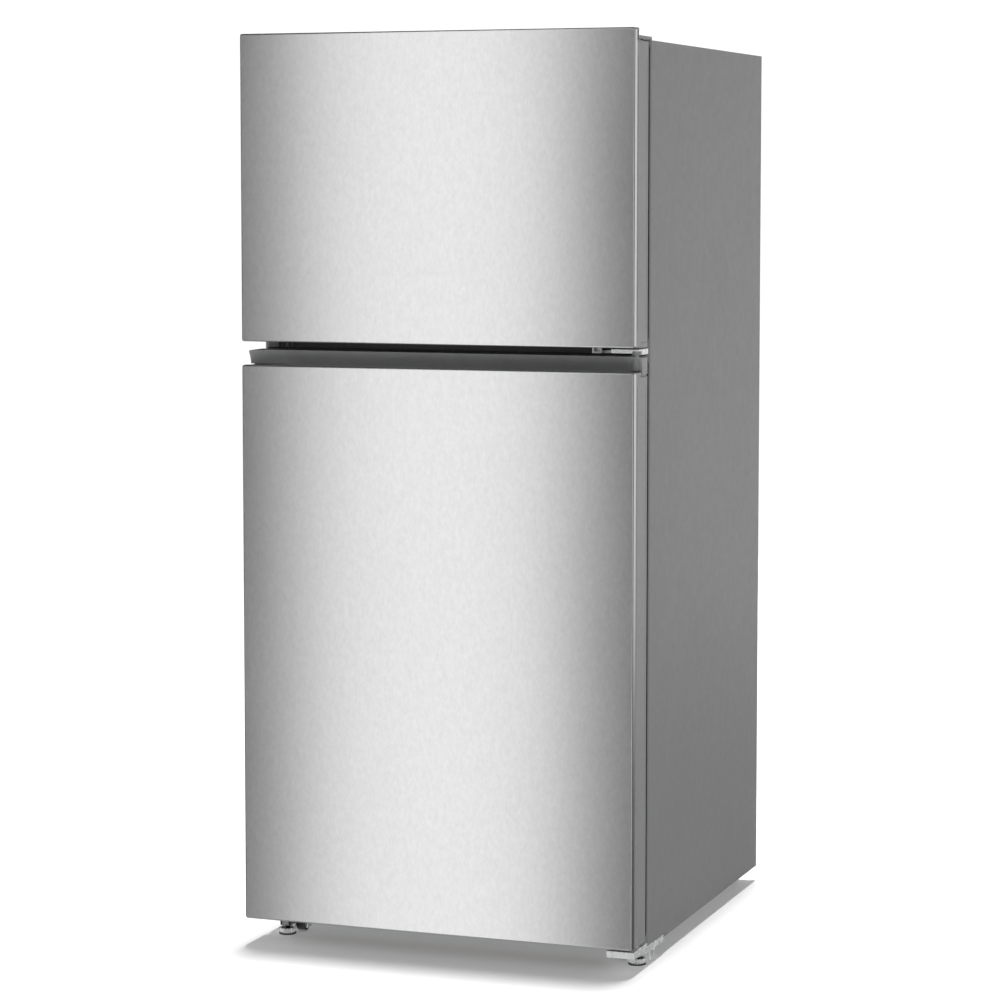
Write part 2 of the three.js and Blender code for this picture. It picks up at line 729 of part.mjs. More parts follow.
// ---------- freezer interior ----------
const DUCT_FRONT = LINER_BACK - 92; // face of the evaporator cover
const EVAPORATOR_FAN_RADIUS = 52;
const EVAPORATOR_FAN_PLACE = [0, DUCT_FRONT + 30, 1500];

// A row of upright slots through the evaporator cover, centred on the middle of its width.
function coverSlots({ count, pitch, width, z0, z1 }) {
  return Array.from({ length: count }, (_, i) => {
    const x = (i - (count - 1) / 2) * pitch - width / 2;
    return block([x, x + width], [DUCT_FRONT - 5, DUCT_FRONT + 5], [z0, z1]);
  });
}

function evaporatorCover() {
  const half = LINER_INSIDE - 2;
  const panel = sweep(
    roundedRectangle([-half, half], [FREEZER_FLOOR + 4, FREEZER_CEILING - 4], LINER_CORNER - 4),
    "y",
    [DUCT_FRONT, DUCT_FRONT + 3],
  );
  const fanZ = EVAPORATOR_FAN_PLACE[2];
  const outlet = coverSlots({ count: 9, pitch: 18, width: 8, z0: fanZ - 40, z1: fanZ + 40 });
  const inletZ = FREEZER_FLOOR + 18;
  const inlet = coverSlots({ count: 10, pitch: 48, width: 32, z0: inletZ, z1: inletZ + 8 });
  return panel.subtract(join(...outlet, ...inlet));
}

// A stack of upright fins on a tube plate, with the ends of the tube bends beside it.
function evaporator() {
  const front = DUCT_FRONT + 16;
  const back = front + 54;
  const half = 236;
  const [z0, z1] = [FREEZER_FLOOR + 40, FREEZER_FLOOR + 200];
  const spine = block([-half, half], [back - 10, back], [z0 + 4, z1 - 4]);
  const [finCount, finPitch, finSheet] = [19, 26, 3];
  const fins = Array.from({ length: finCount }, (_, i) => {
    const x = 2 - half + i * finPitch;
    return block([x, x + finSheet], [front, back - 8], [z0, z1]);
  });
  const right = join(
    ...[30, 80, 130].map((step) => bar("x", [back - 5, z0 + step], 4, [half - 6, half + 16], 6)),
  );
  return join(spine, ...fins, right, mirrorX(right));
}

// Motor can on a cross arm.
function evaporatorFanMotor() {
  const [x, y, z] = EVAPORATOR_FAN_PLACE;
  const can = bar("y", [x, z], 20, [y + 14, y + 44], 10);
  const arms = block([x - 90, x + 90], [y + 40, y + 43], [z - 8, z + 8]);
  return join(can, arms);
}

const FREEZER_SHELF_LEVEL = 1372;

// Wire shelf: three thick rails with a row of thin wires across them.
function freezerShelf() {
  const half = LINER_INSIDE - 3;
  const [y0, y1] = [FRONT + 216, DUCT_FRONT - 12];
  const z = FREEZER_SHELF_LEVEL;
  const [railRadius, wireRadius] = [3.4, 1.8];
  const wireCount = 17;
  const reach = half - 8;
  const rails = [y0, (y0 + y1) / 2, y1].map((y) => bar("x", [y, z], railRadius, [-half, half], 6));
  const wires = Array.from({ length: wireCount }, (_, i) => {
    const x = -reach + (2 * reach * i) / (wireCount - 1);
    return bar("y", [x, z + 3.5], wireRadius, [y0 - 4, y1 + 4], 6);
  });
  return join(...rails, ...wires);
}

// ---------- fresh-food interior ----------
const SHELF_HALF = LINER_INSIDE - 2;
const SHELF_BACK = LINER_BACK - 30;
const FRONT_RAIL = 22; // depth of a shelf frame's front member
const SIDE_RAIL = 14; // width of its side and rear members
const GLASS_REST = 7; // how much of a side member the glass leaves bare
const GLASS_THICKNESS = 3.7;

// Moulded frame with a rebate for the glass, whose sides are shallower than its front.
function shelfFrame(level) {
  const outer = block(
    [-SHELF_HALF, SHELF_HALF],
    [SHELF_FRONT, SHELF_BACK],
    [level - SHELF_SKIRT + 0.4, level + SHELF_SKIRT],
  );
  const opening = block(
    [-SHELF_HALF + SIDE_RAIL, SHELF_HALF - SIDE_RAIL],
    [SHELF_FRONT + FRONT_RAIL, SHELF_BACK - SIDE_RAIL],
    [level - 10, level + 10],
  );
  const rebate = block(
    [-SHELF_HALF + GLASS_REST, SHELF_HALF - GLASS_REST],
    [SHELF_FRONT + 2 * GLASS_REST, SHELF_BACK - GLASS_REST],
    [level, level + 10],
  );
  const underSides = block(
    [-SHELF_HALF - 1, SHELF_HALF + 1],
    [SHELF_FRONT + FRONT_RAIL, SHELF_BACK + 1],
    [level - 20, level - 4],
  );
  return outer.subtract(opening).subtract(rebate).subtract(underSides);
}

// The pane that lies in the frame's rebate, with a gap left all round it.
function shelfPane(level, gap) {
  const half = SHELF_HALF - GLASS_REST - gap;
  return block(
    [-half, half],
    [SHELF_FRONT + 2 * GLASS_REST + gap, SHELF_BACK - GLASS_REST - gap],
    [level + gap, level + gap + GLASS_THICKNESS],
  );
}

// One moulded lid over both drawers: a shelf frame whose middle is closed by a plate.
function crisperCover() {
  return join(shelfFrame(CRISPER_LID_LEVEL), shelfPane(CRISPER_LID_LEVEL, 0));
}

const CRISPER_BOTTOM = FRIDGE_FLOOR + LINER_THICKNESS + 1;
const CRISPER_HEIGHT = 214;
const CRISPER_DEPTH = HUMP_FRONT - LINER_THICKNESS - 6 - SHELF_FRONT;
const CRISPER_HALF = 156;
const CRISPER_WALL = 3;

// An open drawer with a rolled front, about the middle of its front foot line.
function crisper() {
  const top = CRISPER_HEIGHT;
  const bodyFront = 10;
  const frontWall = 4;
  const section = (inset) =>
    roundedRectangle([-CRISPER_HALF + inset, CRISPER_HALF - inset], [inset, top + PAST], 16 - inset);
  const inside = [bodyFront + frontWall, CRISPER_DEPTH - CRISPER_WALL];
  const shell = sweep(section(0), "y", [bodyFront, CRISPER_DEPTH])
    .subtract(sweep(section(CRISPER_WALL), "y", inside))
    .subtract(block([-HALF_DOOR, HALF_DOOR], [-5, CRISPER_DEPTH + 5], [top, top + 2 * PAST]));
  const front = new THREE.Shape();
  front.moveTo(0, 8);
  front.lineTo(bodyFront + 0.5, 0);
  front.lineTo(bodyFront + 0.5, top);
  front.lineTo(4, top);
  front.quadraticCurveTo(-2, top - 4, 3, top - 20);
  front.lineTo(0, top - 26);
  front.closePath();
  const grip = block([-70, 70], [-5, 6], [top - 24, top - 12]);
  return join(shell, sweep(front, "x", [-CRISPER_HALF, CRISPER_HALF]).subtract(grip));
}

const HOUSING_FRONT = -130;
const HOUSING_BOTTOM = 1026;
const HOUSING_TOP = FRIDGE_CEILING - LINER_THICKNESS - GAP;
const KNOB_PLACE = [110, HOUSING_FRONT, 1054];
const KNOB_SHAFT_RADIUS = 5;
const LAMP_HALF = 64;
const LAMP_DEPTH = [HOUSING_FRONT + 24, 104]; // from its front to its back

// Wedge under the ceiling, with a recess for the lamp and a hole for the knob's shaft.
function controlHousing() {
  const profile = polygon([
    [HOUSING_FRONT, HOUSING_BOTTOM + 8],
    [HOUSING_FRONT + 14, HOUSING_BOTTOM],
    [150, HOUSING_BOTTOM],
    [170, HOUSING_TOP],
    [HOUSING_FRONT, HOUSING_TOP],
  ]);
  const lampSeat = block([-LAMP_HALF, LAMP_HALF], LAMP_DEPTH, [HOUSING_BOTTOM - 6, HOUSING_BOTTOM + 20]);
  const shaftHole = bar("y", [0, 0], KNOB_SHAFT_RADIUS + 1, [-20, 30], 8).translate(KNOB_PLACE);
  return sweep(profile, "x", [-190, 190]).subtract(lampSeat).subtract(shaftHole);
}

function lampCover() {
  const plan = (inset) =>
    roundedRectangle(
      [-LAMP_HALF + inset, LAMP_HALF - inset],
      [LAMP_DEPTH[0] + inset, LAMP_DEPTH[1] - inset],
      11 - inset,
    );
  const bottom = HOUSING_BOTTOM - 8;
  const body = sweep(plan(1), "z", [bottom, bottom + 18]);
  const hollow = sweep(plan(3), "z", [bottom + 2, bottom + 22]);
  return body.subtract(hollow);
}

// Round dial with a pointer ridge, about its own axis along Y.
function temperatureKnob() {
  return join(
    bar("y", [0, 0], 19, [-12, -1], 20),
    block([-3, 3], [-17, -10], [-18, 18]),
    bar("y", [0, 0], KNOB_SHAFT_RADIUS, [-4, 12], 8),
  );
}

// Flat duct on the rear wall, with a vent over each shelf.
function airDuct() {
  const back = LINER_BACK - LINER_THICKNESS - GAP;
  const body = sweep(roundedRectangle([-56, 56], [430, 1010], 10), "y", [back - 22, back]);
  const vents = [500, 690, 900].map((z) => block([-34, 34], [back - 30, back - 8], [z, z + 14]));
  return body.subtract(join(...vents));
}

// ---------- doors ----------
// Each door is drawn in its own group: x from the middle, y from its front face,
// z from its skin's lower edge.
const SKIN_WRAP = 14; // how far the skin folds back along each edge
const SKIN_SHEET = 1;
const CAP_INSET = SKIN_SHEET + GAP;
const FRAME_HALF = HALF_DOOR - 1.2;
const FRAME_SHEET = 1.2;
const FOAM_HALF = FRAME_HALF - FRAME_SHEET - GAP;
const TAB_FRONT = 44; // where the end caps come out to the door's side
const TAB_HEIGHT = 8;
const LINER_PLATE = 3.6;
const GASKET_HALF = PIN_X - 1.6;
const GASKET_WIDTH = 16;
const DIKE_HALF = 322; // outside of the liner's raised rim
const DIKE_DEPTH = 40;
const CAP_THICKNESS = 16; // lower end cap, deep enough for the hinge pin
const CAP_BACK = DOOR_DEPTH - FRAME_SHEET - 2 * GAP; // end caps lie inside the frame's rear ring
const SOCKET_DEPTH = 30; // how far the lower cap's pin socket reaches up into the door

function doorSkin(height) {
  const width = [-HALF_DOOR, HALF_DOOR];
  const tray = sweep(roundedRectangle(width, [0, height], 4), "y", [0, SKIN_WRAP]);
  const rounded = sweep(roundedRectangle(width, [0, SKIN_WRAP + PAST], 2.5), "z", [-1, height + 1]);
  const inside = block(
    [-HALF_DOOR + SKIN_SHEET, HALF_DOOR - SKIN_SHEET],
    [SKIN_SHEET, SKIN_WRAP + 5],
    [SKIN_SHEET, height - SKIN_SHEET],
  );
  return tray.intersect(rounded).subtract(inside);
}

// Painted side walls joined by a narrow ring round the back of the door.
function doorFrame({ bodyTop, topTab }) {
  const bottom = CAP_INSET;
  const ringWidth = 13;
  const outer = block([-FRAME_HALF, FRAME_HALF], [SKIN_WRAP + GAP, DOOR_DEPTH], [bottom, bodyTop]);
  const inner = block(
    [-FRAME_HALF + FRAME_SHEET, FRAME_HALF - FRAME_SHEET],
    [0, DOOR_DEPTH - FRAME_SHEET],
    [bottom - 5, bodyTop + 5],
  );
  const window = block(
    [-FRAME_HALF + ringWidth, FRAME_HALF - ringWidth],
    [0, DOOR_DEPTH + 5],
    [bottom + TAB_HEIGHT + 12, bodyTop - topTab - 12],
  );
  const notch = (z0, z1) => block([-HALF_DOOR, HALF_DOOR], [TAB_FRONT - GAP, DOOR_DEPTH + 5], [z0, z1]);
  const cut = outer.subtract(inner).subtract(window).subtract(notch(bottom - 5, TAB_HEIGHT + GAP));
  return topTab ? cut.subtract(notch(bodyTop - topTab, bodyTop + 5)) : cut;
}

function doorFoam({ z0, z1 }) {
  return block([-FOAM_HALF, FOAM_HALF], [CAP_INSET, DOOR_DEPTH - LINER_PLATE - 3], [z0, z1]);
}

function pinHole(range) {
  return bar("z", [PIN_X, PIN_Y - FRONT], PIN_HOLE_RADIUS, range, 8);
}

// Lower end cap, with tabs that come out to the sides at the rear.
function doorBottomCap() {
  const body = block([-FOAM_HALF, FOAM_HALF], [CAP_INSET, CAP_BACK], [CAP_INSET, CAP_THICKNESS]);
  const tab = block([-FRAME_HALF, FRAME_HALF], [TAB_FRONT, DOOR_DEPTH], [-1.2, TAB_HEIGHT]);
  const socket = block(
    [PIN_X - 12, FOAM_HALF],
    [TAB_FRONT - 4, CAP_BACK - 3],
    [5, SOCKET_DEPTH],
  );
  return join(body, tab, socket).subtract(pinHole([-5, SOCKET_DEPTH - 3]));
}

const FREEZER_BODY_TOP = FREEZER_DOOR_HEIGHT - LIP_HEIGHT;
const TOP_CAP_BOTTOM = FREEZER_BODY_TOP - 26;

// Upper end cap with the front lip, whose ends are open.
function freezerDoorTopCap() {
  const body = block(
    [-FOAM_HALF, FOAM_HALF],
    [CAP_INSET, CAP_BACK],
    [TOP_CAP_BOTTOM, FREEZER_BODY_TOP + 1],
  );
  const lip = block(
    [-FRAME_HALF + GAP, FRAME_HALF - GAP],
    [CAP_INSET, LIP_DEPTH],
    [FREEZER_BODY_TOP + GAP, FREEZER_DOOR_HEIGHT - CAP_INSET],
  );
  const top = block(
    [-FRAME_HALF, FRAME_HALF],
    [SKIN_WRAP + GAP, LIP_DEPTH],
    [FREEZER_DOOR_HEIGHT - 3, FREEZER_DOOR_HEIGHT],
  );
  const openEnd = block(
    [FRAME_HALF - 40, FRAME_HALF + 5],
    [CAP_INSET + 2, LIP_DEPTH - 2.5],
    [FREEZER_BODY_TOP + 1, FREEZER_DOOR_HEIGHT - 4],
  );
  return join(body, lip, top)
    .subtract(openEnd)
    .subtract(mirrorX(openEnd))
    .subtract(pinHole([TOP_CAP_BOTTOM + 2, FREEZER_BODY_TOP + 5]));
}

const POCKET = [-300, 338]; // from its left end to its right end
const POCKET_DEPTH = 26; // how far fingers reach down behind the skin's upper edge
const HANDLE_CAP_DEPTH = 40;
const SCOOP_DEPTH = 8; // hollow of the raised half's front face
const FREE_END_REACH = 18; // how far that face comes forward at the door's free end
const FREE_END_LENGTH = 80;

// Hollow behind the skin's upper edge, curving up into the scooped face of the raised half.
function handlePocket() {
  const top = FRIDGE_DOOR_HEIGHT;
  const floor = top - POCKET_DEPTH;
  const front = SKIN_WRAP + 2;
  const section = new THREE.Shape();
  section.moveTo(front, top + 1);
  section.lineTo(front, floor + 10);
  section.quadraticCurveTo(front + 1, floor, front + 12, floor);
  section.lineTo(HANDLE_REAR - 4, floor);
  section.quadraticCurveTo(HANDLE_REAR + SCOOP_DEPTH, floor + 2, HANDLE_REAR + SCOOP_DEPTH, top + 1);
  section.closePath();
  return sweep(section, "x", POCKET, 4);
}

// The raised rear half. Its scooped front comes forward in a smooth bend at the door's free end.
function raisedHandle() {
  const top = FRIDGE_DOOR_HEIGHT;
  const tabBottom = top - TAB_HEIGHT + 2;
  const crest = top + HANDLE_RISE;
  const section = new THREE.Shape();
  section.moveTo(HANDLE_REAR + SCOOP_DEPTH, tabBottom);
  section.lineTo(HANDLE_REAR + SCOOP_DEPTH, top);
  section.lineTo(HANDLE_REAR + SCOOP_DEPTH - 0.1, top + 0.5);
  section.quadraticCurveTo(HANDLE_REAR + SCOOP_DEPTH - 1, top + HANDLE_RISE / 2, HANDLE_REAR, crest);
  section.lineTo(DOOR_DEPTH, crest);
  section.lineTo(DOOR_DEPTH, tabBottom);
  section.closePath();
  const geometry = new THREE.ExtrudeGeometry(section, {
    depth: 2 * FRAME_HALF,
    steps: 48,
    curveSegments: 4,
    bevelEnabled: false,
  });
  geometry.applyMatrix4(SWEEPS.x);
  geometry.translate(-FRAME_HALF, 0, 0);
  const places = geometry.attributes.position;
  for (let i = 0; i < places.count; i++) {
    const fromEnd = (places.getX(i) + FRAME_HALF) / FREE_END_LENGTH;
    const reach = FREE_END_REACH * Math.max(0, 1 - fromEnd) ** 2;
    const stretch = 1 + reach / (DOOR_DEPTH - HANDLE_REAR);
    if (places.getZ(i) > top + 0.2) {
      places.setY(i, DOOR_DEPTH - (DOOR_DEPTH - places.getY(i)) * stretch);
    }
  }
  const endOutline = roundedRectangle([-FRAME_HALF, FRAME_HALF], [top - PAST, crest], 4);
  return toSolid(geometry).intersect(sweep(endOutline, "y", [0, DOOR_DEPTH]));
}

// Upper end cap of the lower door: its body, the handle pocket and the raised half.
function fridgeDoorHandleCap() {
  const top = FRIDGE_DOOR_HEIGHT;
  const body = block(
    [-FOAM_HALF, FOAM_HALF],
    [CAP_INSET, CAP_BACK],
    [top - HANDLE_CAP_DEPTH, top - CAP_INSET],
  );
  return join(body, raisedHandle()).subtract(handlePocket()).subtract(pinHole([top - 10, top + PAST]));
}

// Vacuum-formed inner panel with a raised rim that holds the bins.
function doorLiner({ z0, z1 }) {
  const back = DOOR_DEPTH - FRAME_SHEET - GAP;
  const panel = block([-FOAM_HALF, FOAM_HALF], [back - LINER_PLATE + 1.4, back], [z0, z1]);
  const margin = 44; // panel's end to the rim
  const rimWidth = 16;
  const outline = (inset) =>
    roundedRectangle(
      [-DIKE_HALF + inset, DIKE_HALF - inset],
      [z0 + margin + inset, z1 - margin - inset],
      16 - inset / 2,
    );
  const rim = [0, rimWidth].map((inset) => sweep(outline(inset), "y", [back - 2, DOOR_DEPTH + DIKE_DEPTH]));
  return join(panel, rim[0].subtract(rim[1]));
}

// Square-cornered vinyl ring with a groove round its outside.
function doorGasket({ z0, z1 }) {
  const corner = 5;
  const ring = (inset, range) =>
    sweep(
      roundedRectangle([-GASKET_HALF + inset, GASKET_HALF - inset], [z0 + inset, z1 - inset], corner),
      "y",
      range,
    );
  const [y0, y1] = [DOOR_DEPTH + GAP, DOOR_DEPTH + SEAL_GAP - GAP];
  const grooveDepth = 2.5;
  const groove = ring(-2, [y0 + 3, y0 + 5.5]).subtract(ring(grooveDepth, [y0 + 2, y0 + 7]));
  return ring(0, [y0, y1]).subtract(ring(GASKET_WIDTH, [y0 - 1, y1 + 1])).subtract(groove);
}

const BIN_HALF = 303;
const BIN_WALL = 2.6;
const BIN_CORNER = 14;

// Open door tray about the middle of its lower front edge, lower at the back between its ends.
function doorBin(height, depth) {
  const plan = (inset) =>
    roundedRectangle([-BIN_HALF + inset, BIN_HALF - inset], [inset, depth - inset], BIN_CORNER - inset);
  const hollow = sweep(plan(BIN_WALL), "z", [BIN_WALL, height + 5]);
  const lowBack = block([-BIN_HALF + 20, BIN_HALF - 20], [-5, 6], [height * 0.62, height + 5]);
  return sweep(plan(0), "z", [0, height]).subtract(hollow).subtract(lowBack);
}

const DAIRY_DEPTH = 92;
const DAIRY_HEIGHT = 96;
const DAIRY_WALL = 3;
const FLAP_PIVOT = new THREE.Vector3(0, DAIRY_DEPTH - 8, DAIRY_HEIGHT - 12);
const FLAP_STUB_RADIUS = 3;

// Long box open at the back, with a hole in each end for the flap's pivot.
function dairyBody() {
  const outer = block([-BIN_HALF, BIN_HALF], [0, DAIRY_DEPTH], [0, DAIRY_HEIGHT]);
  const inside = block(
    [-BIN_HALF + DAIRY_WALL, BIN_HALF - DAIRY_WALL],
    [DAIRY_WALL, DAIRY_DEPTH + 5],
    [DAIRY_WALL, DAIRY_HEIGHT - DAIRY_WALL],
  );
  const pivot = [FLAP_PIVOT.y, FLAP_PIVOT.z];
  const holes = bar("x", pivot, FLAP_STUB_RADIUS + 0.4, [-BIN_HALF - 1, BIN_HALF + 1], 8);
  return outer.subtract(inside).subtract(holes);
}

// Flap with its two pivot stubs, about the pivot's axis.
function dairyFlap() {
  const half = BIN_HALF - DAIRY_WALL - 1;
  const bottom = -80;
  const panel = sweep(roundedRectangle([-half, half], [bottom, 5], 4), "y", [-1, 3], 3);
  const stubs = bar("x", [0, 0], FLAP_STUB_RADIUS, [-BIN_HALF + 0.5, BIN_HALF - 0.5], 8);
  const lip = block([-60, 60], [2, 9], [bottom, bottom + 5]);
  return join(panel, stubs, lip);
}

// ---------- assembly ----------
addPiece("cabinet_wrapper", cabinetWrapper(), cabinetPaint);
addPiece("cabinet_foam", cabinetFoam(), foam);
addPiece("freezer_liner", freezerLiner(), whitePlastic);
addPiece("fridge_liner", fridgeLiner(), whitePlastic);
addPiece("centre_rail", centreRail(), darkPlastic);
addPiece("back_panel", backPanel(), galvanised);
addPiece("base_deck", baseDeck(), galvanised);
addPiece("top_hinge", topHinge(), zincSteel);
addPiece("top_hinge_cover", topHingeCover(), greyPlastic);
addPiece("centre_hinge", centreHinge(), zincSteel);
addPiece("bottom_hinge", bottomHinge(), zincSteel);
addPiece("left_bracket", leftBracket(), zincSteel);

const SIDES = [
  ["left", -1],
  ["right", 1],
];
for (const [side, sign] of SIDES) {
  const footPlace = [sign * FOOT_IN[side], FOOT_Y, 0];
  const frontAxle = [sign * FRONT_ROLLER_IN, FRONT_AXLE_Y, FRONT_AXLE_Z];
  const rearAxle = [sign * REAR_ROLLER_X, REAR_AXLE_Y, ROLLER_RADIUS];
  addPiece(`levelling_foot_${side}`, levellingFoot(), zincSteel, fridge, footPlace);
  addPiece(`front_roller_${side}`, roller(), darkPlastic, fridge, frontAxle);
  addPiece(`rear_roller_${side}`, roller(), darkPlastic, fridge, rearAxle);
}

addPiece("compressor", compressor(), blackSteel);
addPiece("condenser", condenser(), copper);
addPiece("condenser_fan_motor", condenserFanMotor(), blackSteel);
addPiece("condenser_fan", fan(CONDENSER_FAN_RADIUS, 5), darkPlastic, fridge, CONDENSER_FAN_PLACE);
addPiece("drain_pan", drainPan(), darkPlastic);
addPiece("machine_cover", machineCover(), galvanised);

addPiece("evaporator_cover", evaporatorCover(), whitePlastic);
addPiece("evaporator", evaporator(), aluminium);
addPiece("evaporator_fan_motor", evaporatorFanMotor(), blackSteel);
const evaporatorFan = fan(EVAPORATOR_FAN_RADIUS, 4).rotate([0, 0, 90]);
addPiece("evaporator_fan", evaporatorFan, darkPlastic, fridge, EVAPORATOR_FAN_PLACE);
addPiece("freezer_shelf", freezerShelf(), whitePlastic);

SHELF_LEVELS.forEach((level, i) => {
  addPiece(`shelf_frame_${i + 1}`, shelfFrame(level), whitePlastic);
  addPiece(`shelf_glass_${i + 1}`, shelfPane(level, GAP), glass);
});
addPiece("crisper_cover", crisperCover(), whitePlastic);
for (const [side, sign] of SIDES) {
  const place = [sign * (CRISPER_HALF + 3), SHELF_FRONT, CRISPER_BOTTOM];
  addPiece(`crisper_${side}`, crisper(), clearPlastic, fridge, place);
}
addPiece("control_housing", controlHousing(), whitePlastic);
addPiece("lamp_cover", lampCover(), clearPlastic);
addPiece("temperature_knob", temperatureKnob(), greyPlastic, fridge, KNOB_PLACE);
addPiece("air_duct", airDuct(), whitePlastic);

const freezerDoor = new THREE.Group();
freezerDoor.position.set(0, FRONT, FREEZER_DOOR_BOTTOM);
fridge.add(freezerDoor);
const freezerFrame = { bodyTop: FREEZER_BODY_TOP, topTab: 0 };
const freezerLinerSpan = { z0: SOCKET_DEPTH + GAP, z1: TOP_CAP_BOTTOM - GAP };
const freezerSealSpan = { z0: 10, z1: FREEZER_BODY_TOP - 6 };
addPiece("freezer_door_skin", doorSkin(FREEZER_DOOR_HEIGHT), stainless, freezerDoor);
addPiece("freezer_door_frame", doorFrame(freezerFrame), framePaint, freezerDoor);
addPiece("freezer_door_foam", doorFoam(freezerLinerSpan), foam, freezerDoor);
addPiece("freezer_door_top_cap", freezerDoorTopCap(), greyPlastic, freezerDoor);
addPiece("freezer_door_bottom_cap", doorBottomCap(), greyPlastic, freezerDoor);
addPiece("freezer_door_liner", doorLiner(freezerLinerSpan), whitePlastic, freezerDoor);
addPiece("freezer_door_gasket", doorGasket(freezerSealSpan), gasketRubber, freezerDoor);

const fridgeDoor = new THREE.Group();
fridgeDoor.position.set(0, FRONT, DOOR_CLEARANCE);
fridge.add(fridgeDoor);
const fridgeFrame = { bodyTop: FRIDGE_DOOR_HEIGHT - CAP_INSET, topTab: TAB_HEIGHT };
const fridgeLinerSpan = { z0: SOCKET_DEPTH + GAP, z1: FRIDGE_DOOR_HEIGHT - HANDLE_CAP_DEPTH - GAP };
const fridgeSealSpan = { z0: 8, z1: FRIDGE_DOOR_HEIGHT + 16 };
addPiece("fridge_door_skin", doorSkin(FRIDGE_DOOR_HEIGHT), stainless, fridgeDoor);
addPiece("fridge_door_frame", doorFrame(fridgeFrame), framePaint, fridgeDoor);
addPiece("fridge_door_foam", doorFoam(fridgeLinerSpan), foam, fridgeDoor);
addPiece("fridge_door_handle_cap", fridgeDoorHandleCap(), greyPlastic, fridgeDoor);
addPiece("fridge_door_bottom_cap", doorBottomCap(), greyPlastic, fridgeDoor);
addPiece("fridge_door_liner", doorLiner(fridgeLinerSpan), whitePlastic, fridgeDoor);
addPiece("fridge_door_gasket", doorGasket(fridgeSealSpan), gasketRubber, fridgeDoor);

// The bins, each with its door, its level above the door's lower edge, its height and its depth.
const BINS = [
  ["freezer_door_bin_1", freezerDoor, 100, 88, 84],
  ["freezer_door_bin_2", freezerDoor, 300, 88, 84],
  ["fridge_door_bin_1", fridgeDoor, 310, 92, 96],
  ["fridge_door_bin_2", fridgeDoor, 590, 92, 96],
];
for (const [name, door, level, height, depth] of BINS) {
  addPiece(name, doorBin(height, depth), clearPlastic, door, [0, DOOR_DEPTH + GAP, level]);
}
const dairyPlace = new THREE.Vector3(0, DOOR_DEPTH + GAP, 822);
const flapPlace = dairyPlace.clone().add(FLAP_PIVOT);
addPiece("dairy_body", dairyBody(), clearPlastic, fridgeDoor, dairyPlace.toArray());
addPiece("dairy_flap", dairyFlap(), clearPlastic, fridgeDoor, flapPlace.toArray());

export default fridge;
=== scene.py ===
"""Looks of the top freezer refrigerator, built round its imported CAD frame.

Metres, +X to the right facing the doors, +Y from the doors to the back, +Z up, floor at zero.
"""

import json
import math

import bmesh
import bpy
from mathutils import Matrix, Vector


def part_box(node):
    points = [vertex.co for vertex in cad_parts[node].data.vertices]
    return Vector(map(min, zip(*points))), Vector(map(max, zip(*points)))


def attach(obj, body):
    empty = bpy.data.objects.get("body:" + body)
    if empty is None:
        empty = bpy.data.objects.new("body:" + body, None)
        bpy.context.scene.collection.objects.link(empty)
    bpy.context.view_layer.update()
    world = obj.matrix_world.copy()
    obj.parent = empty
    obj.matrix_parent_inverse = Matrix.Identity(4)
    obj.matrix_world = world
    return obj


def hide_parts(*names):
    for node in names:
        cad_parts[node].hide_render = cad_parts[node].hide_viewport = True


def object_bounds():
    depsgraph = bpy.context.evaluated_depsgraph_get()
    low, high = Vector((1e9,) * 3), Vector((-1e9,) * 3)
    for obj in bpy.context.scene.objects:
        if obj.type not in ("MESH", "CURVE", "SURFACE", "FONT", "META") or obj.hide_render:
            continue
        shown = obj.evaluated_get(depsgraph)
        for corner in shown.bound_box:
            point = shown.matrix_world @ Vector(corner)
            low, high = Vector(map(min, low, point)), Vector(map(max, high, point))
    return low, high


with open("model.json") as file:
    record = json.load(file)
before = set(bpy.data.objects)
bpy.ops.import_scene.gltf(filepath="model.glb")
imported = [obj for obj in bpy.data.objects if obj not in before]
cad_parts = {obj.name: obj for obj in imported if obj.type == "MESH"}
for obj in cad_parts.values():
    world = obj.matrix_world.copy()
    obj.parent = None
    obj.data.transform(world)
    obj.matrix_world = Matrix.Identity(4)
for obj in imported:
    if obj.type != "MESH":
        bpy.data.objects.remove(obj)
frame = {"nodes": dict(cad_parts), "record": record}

CAD_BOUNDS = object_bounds()
MM = 0.001
UP = Vector((0, 0, 1))
RIGHT = Vector((1, 0, 0))
BACKWARDS = Vector((0, 1, 0))

# ---------- places taken from the frame ----------
LOW, HIGH = CAD_BOUNDS
BEHAVIOUR = frame["record"]["behaviour"]
SLOT_OF = {part["node"]: part["material_slot"] for part in frame["record"]["subparts"]}
BODY_OF = {node: body for body, nodes in BEHAVIOUR["bodies"].items() for node in nodes}
JOINTS = {joint["name"]: joint for joint in BEHAVIOUR["joints"]}
PIN_X, PIN_Y = JOINTS["fridge_door_hinge"]["pos_m"][:2]
DOOR_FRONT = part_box("fridge_door_skin")[0].y
FRIDGE_SKIN_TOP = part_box("fridge_door_skin")[1].z
FREEZER_SKIN_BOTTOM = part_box("freezer_door_skin")[0].z

# ---------- camera ----------
SENSOR_WIDTH = 36  # millimetres, as is the lens
LENS = 112.81
CAMERA_PLACE = (2.0158, -5.6482, 1.4078)
CAMERA_DOWN = 4.843  # degrees below level
CAMERA_LEFT = 19.874  # degrees to the left of straight back
SHIFT = -0.05


def make_camera():
    """A long lens at about chest height, in front of the doors and to their right."""
    data = bpy.data.cameras.new("camera")
    data.sensor_width = SENSOR_WIDTH
    data.lens = LENS
    data.shift_y = SHIFT
    camera = bpy.data.objects.new("camera", data)
    bpy.context.scene.collection.objects.link(camera)
    camera.location = CAMERA_PLACE
    camera.rotation_euler = (math.radians(90 - CAMERA_DOWN), 0, math.radians(CAMERA_LEFT))
    bpy.context.scene.camera = camera


make_camera()


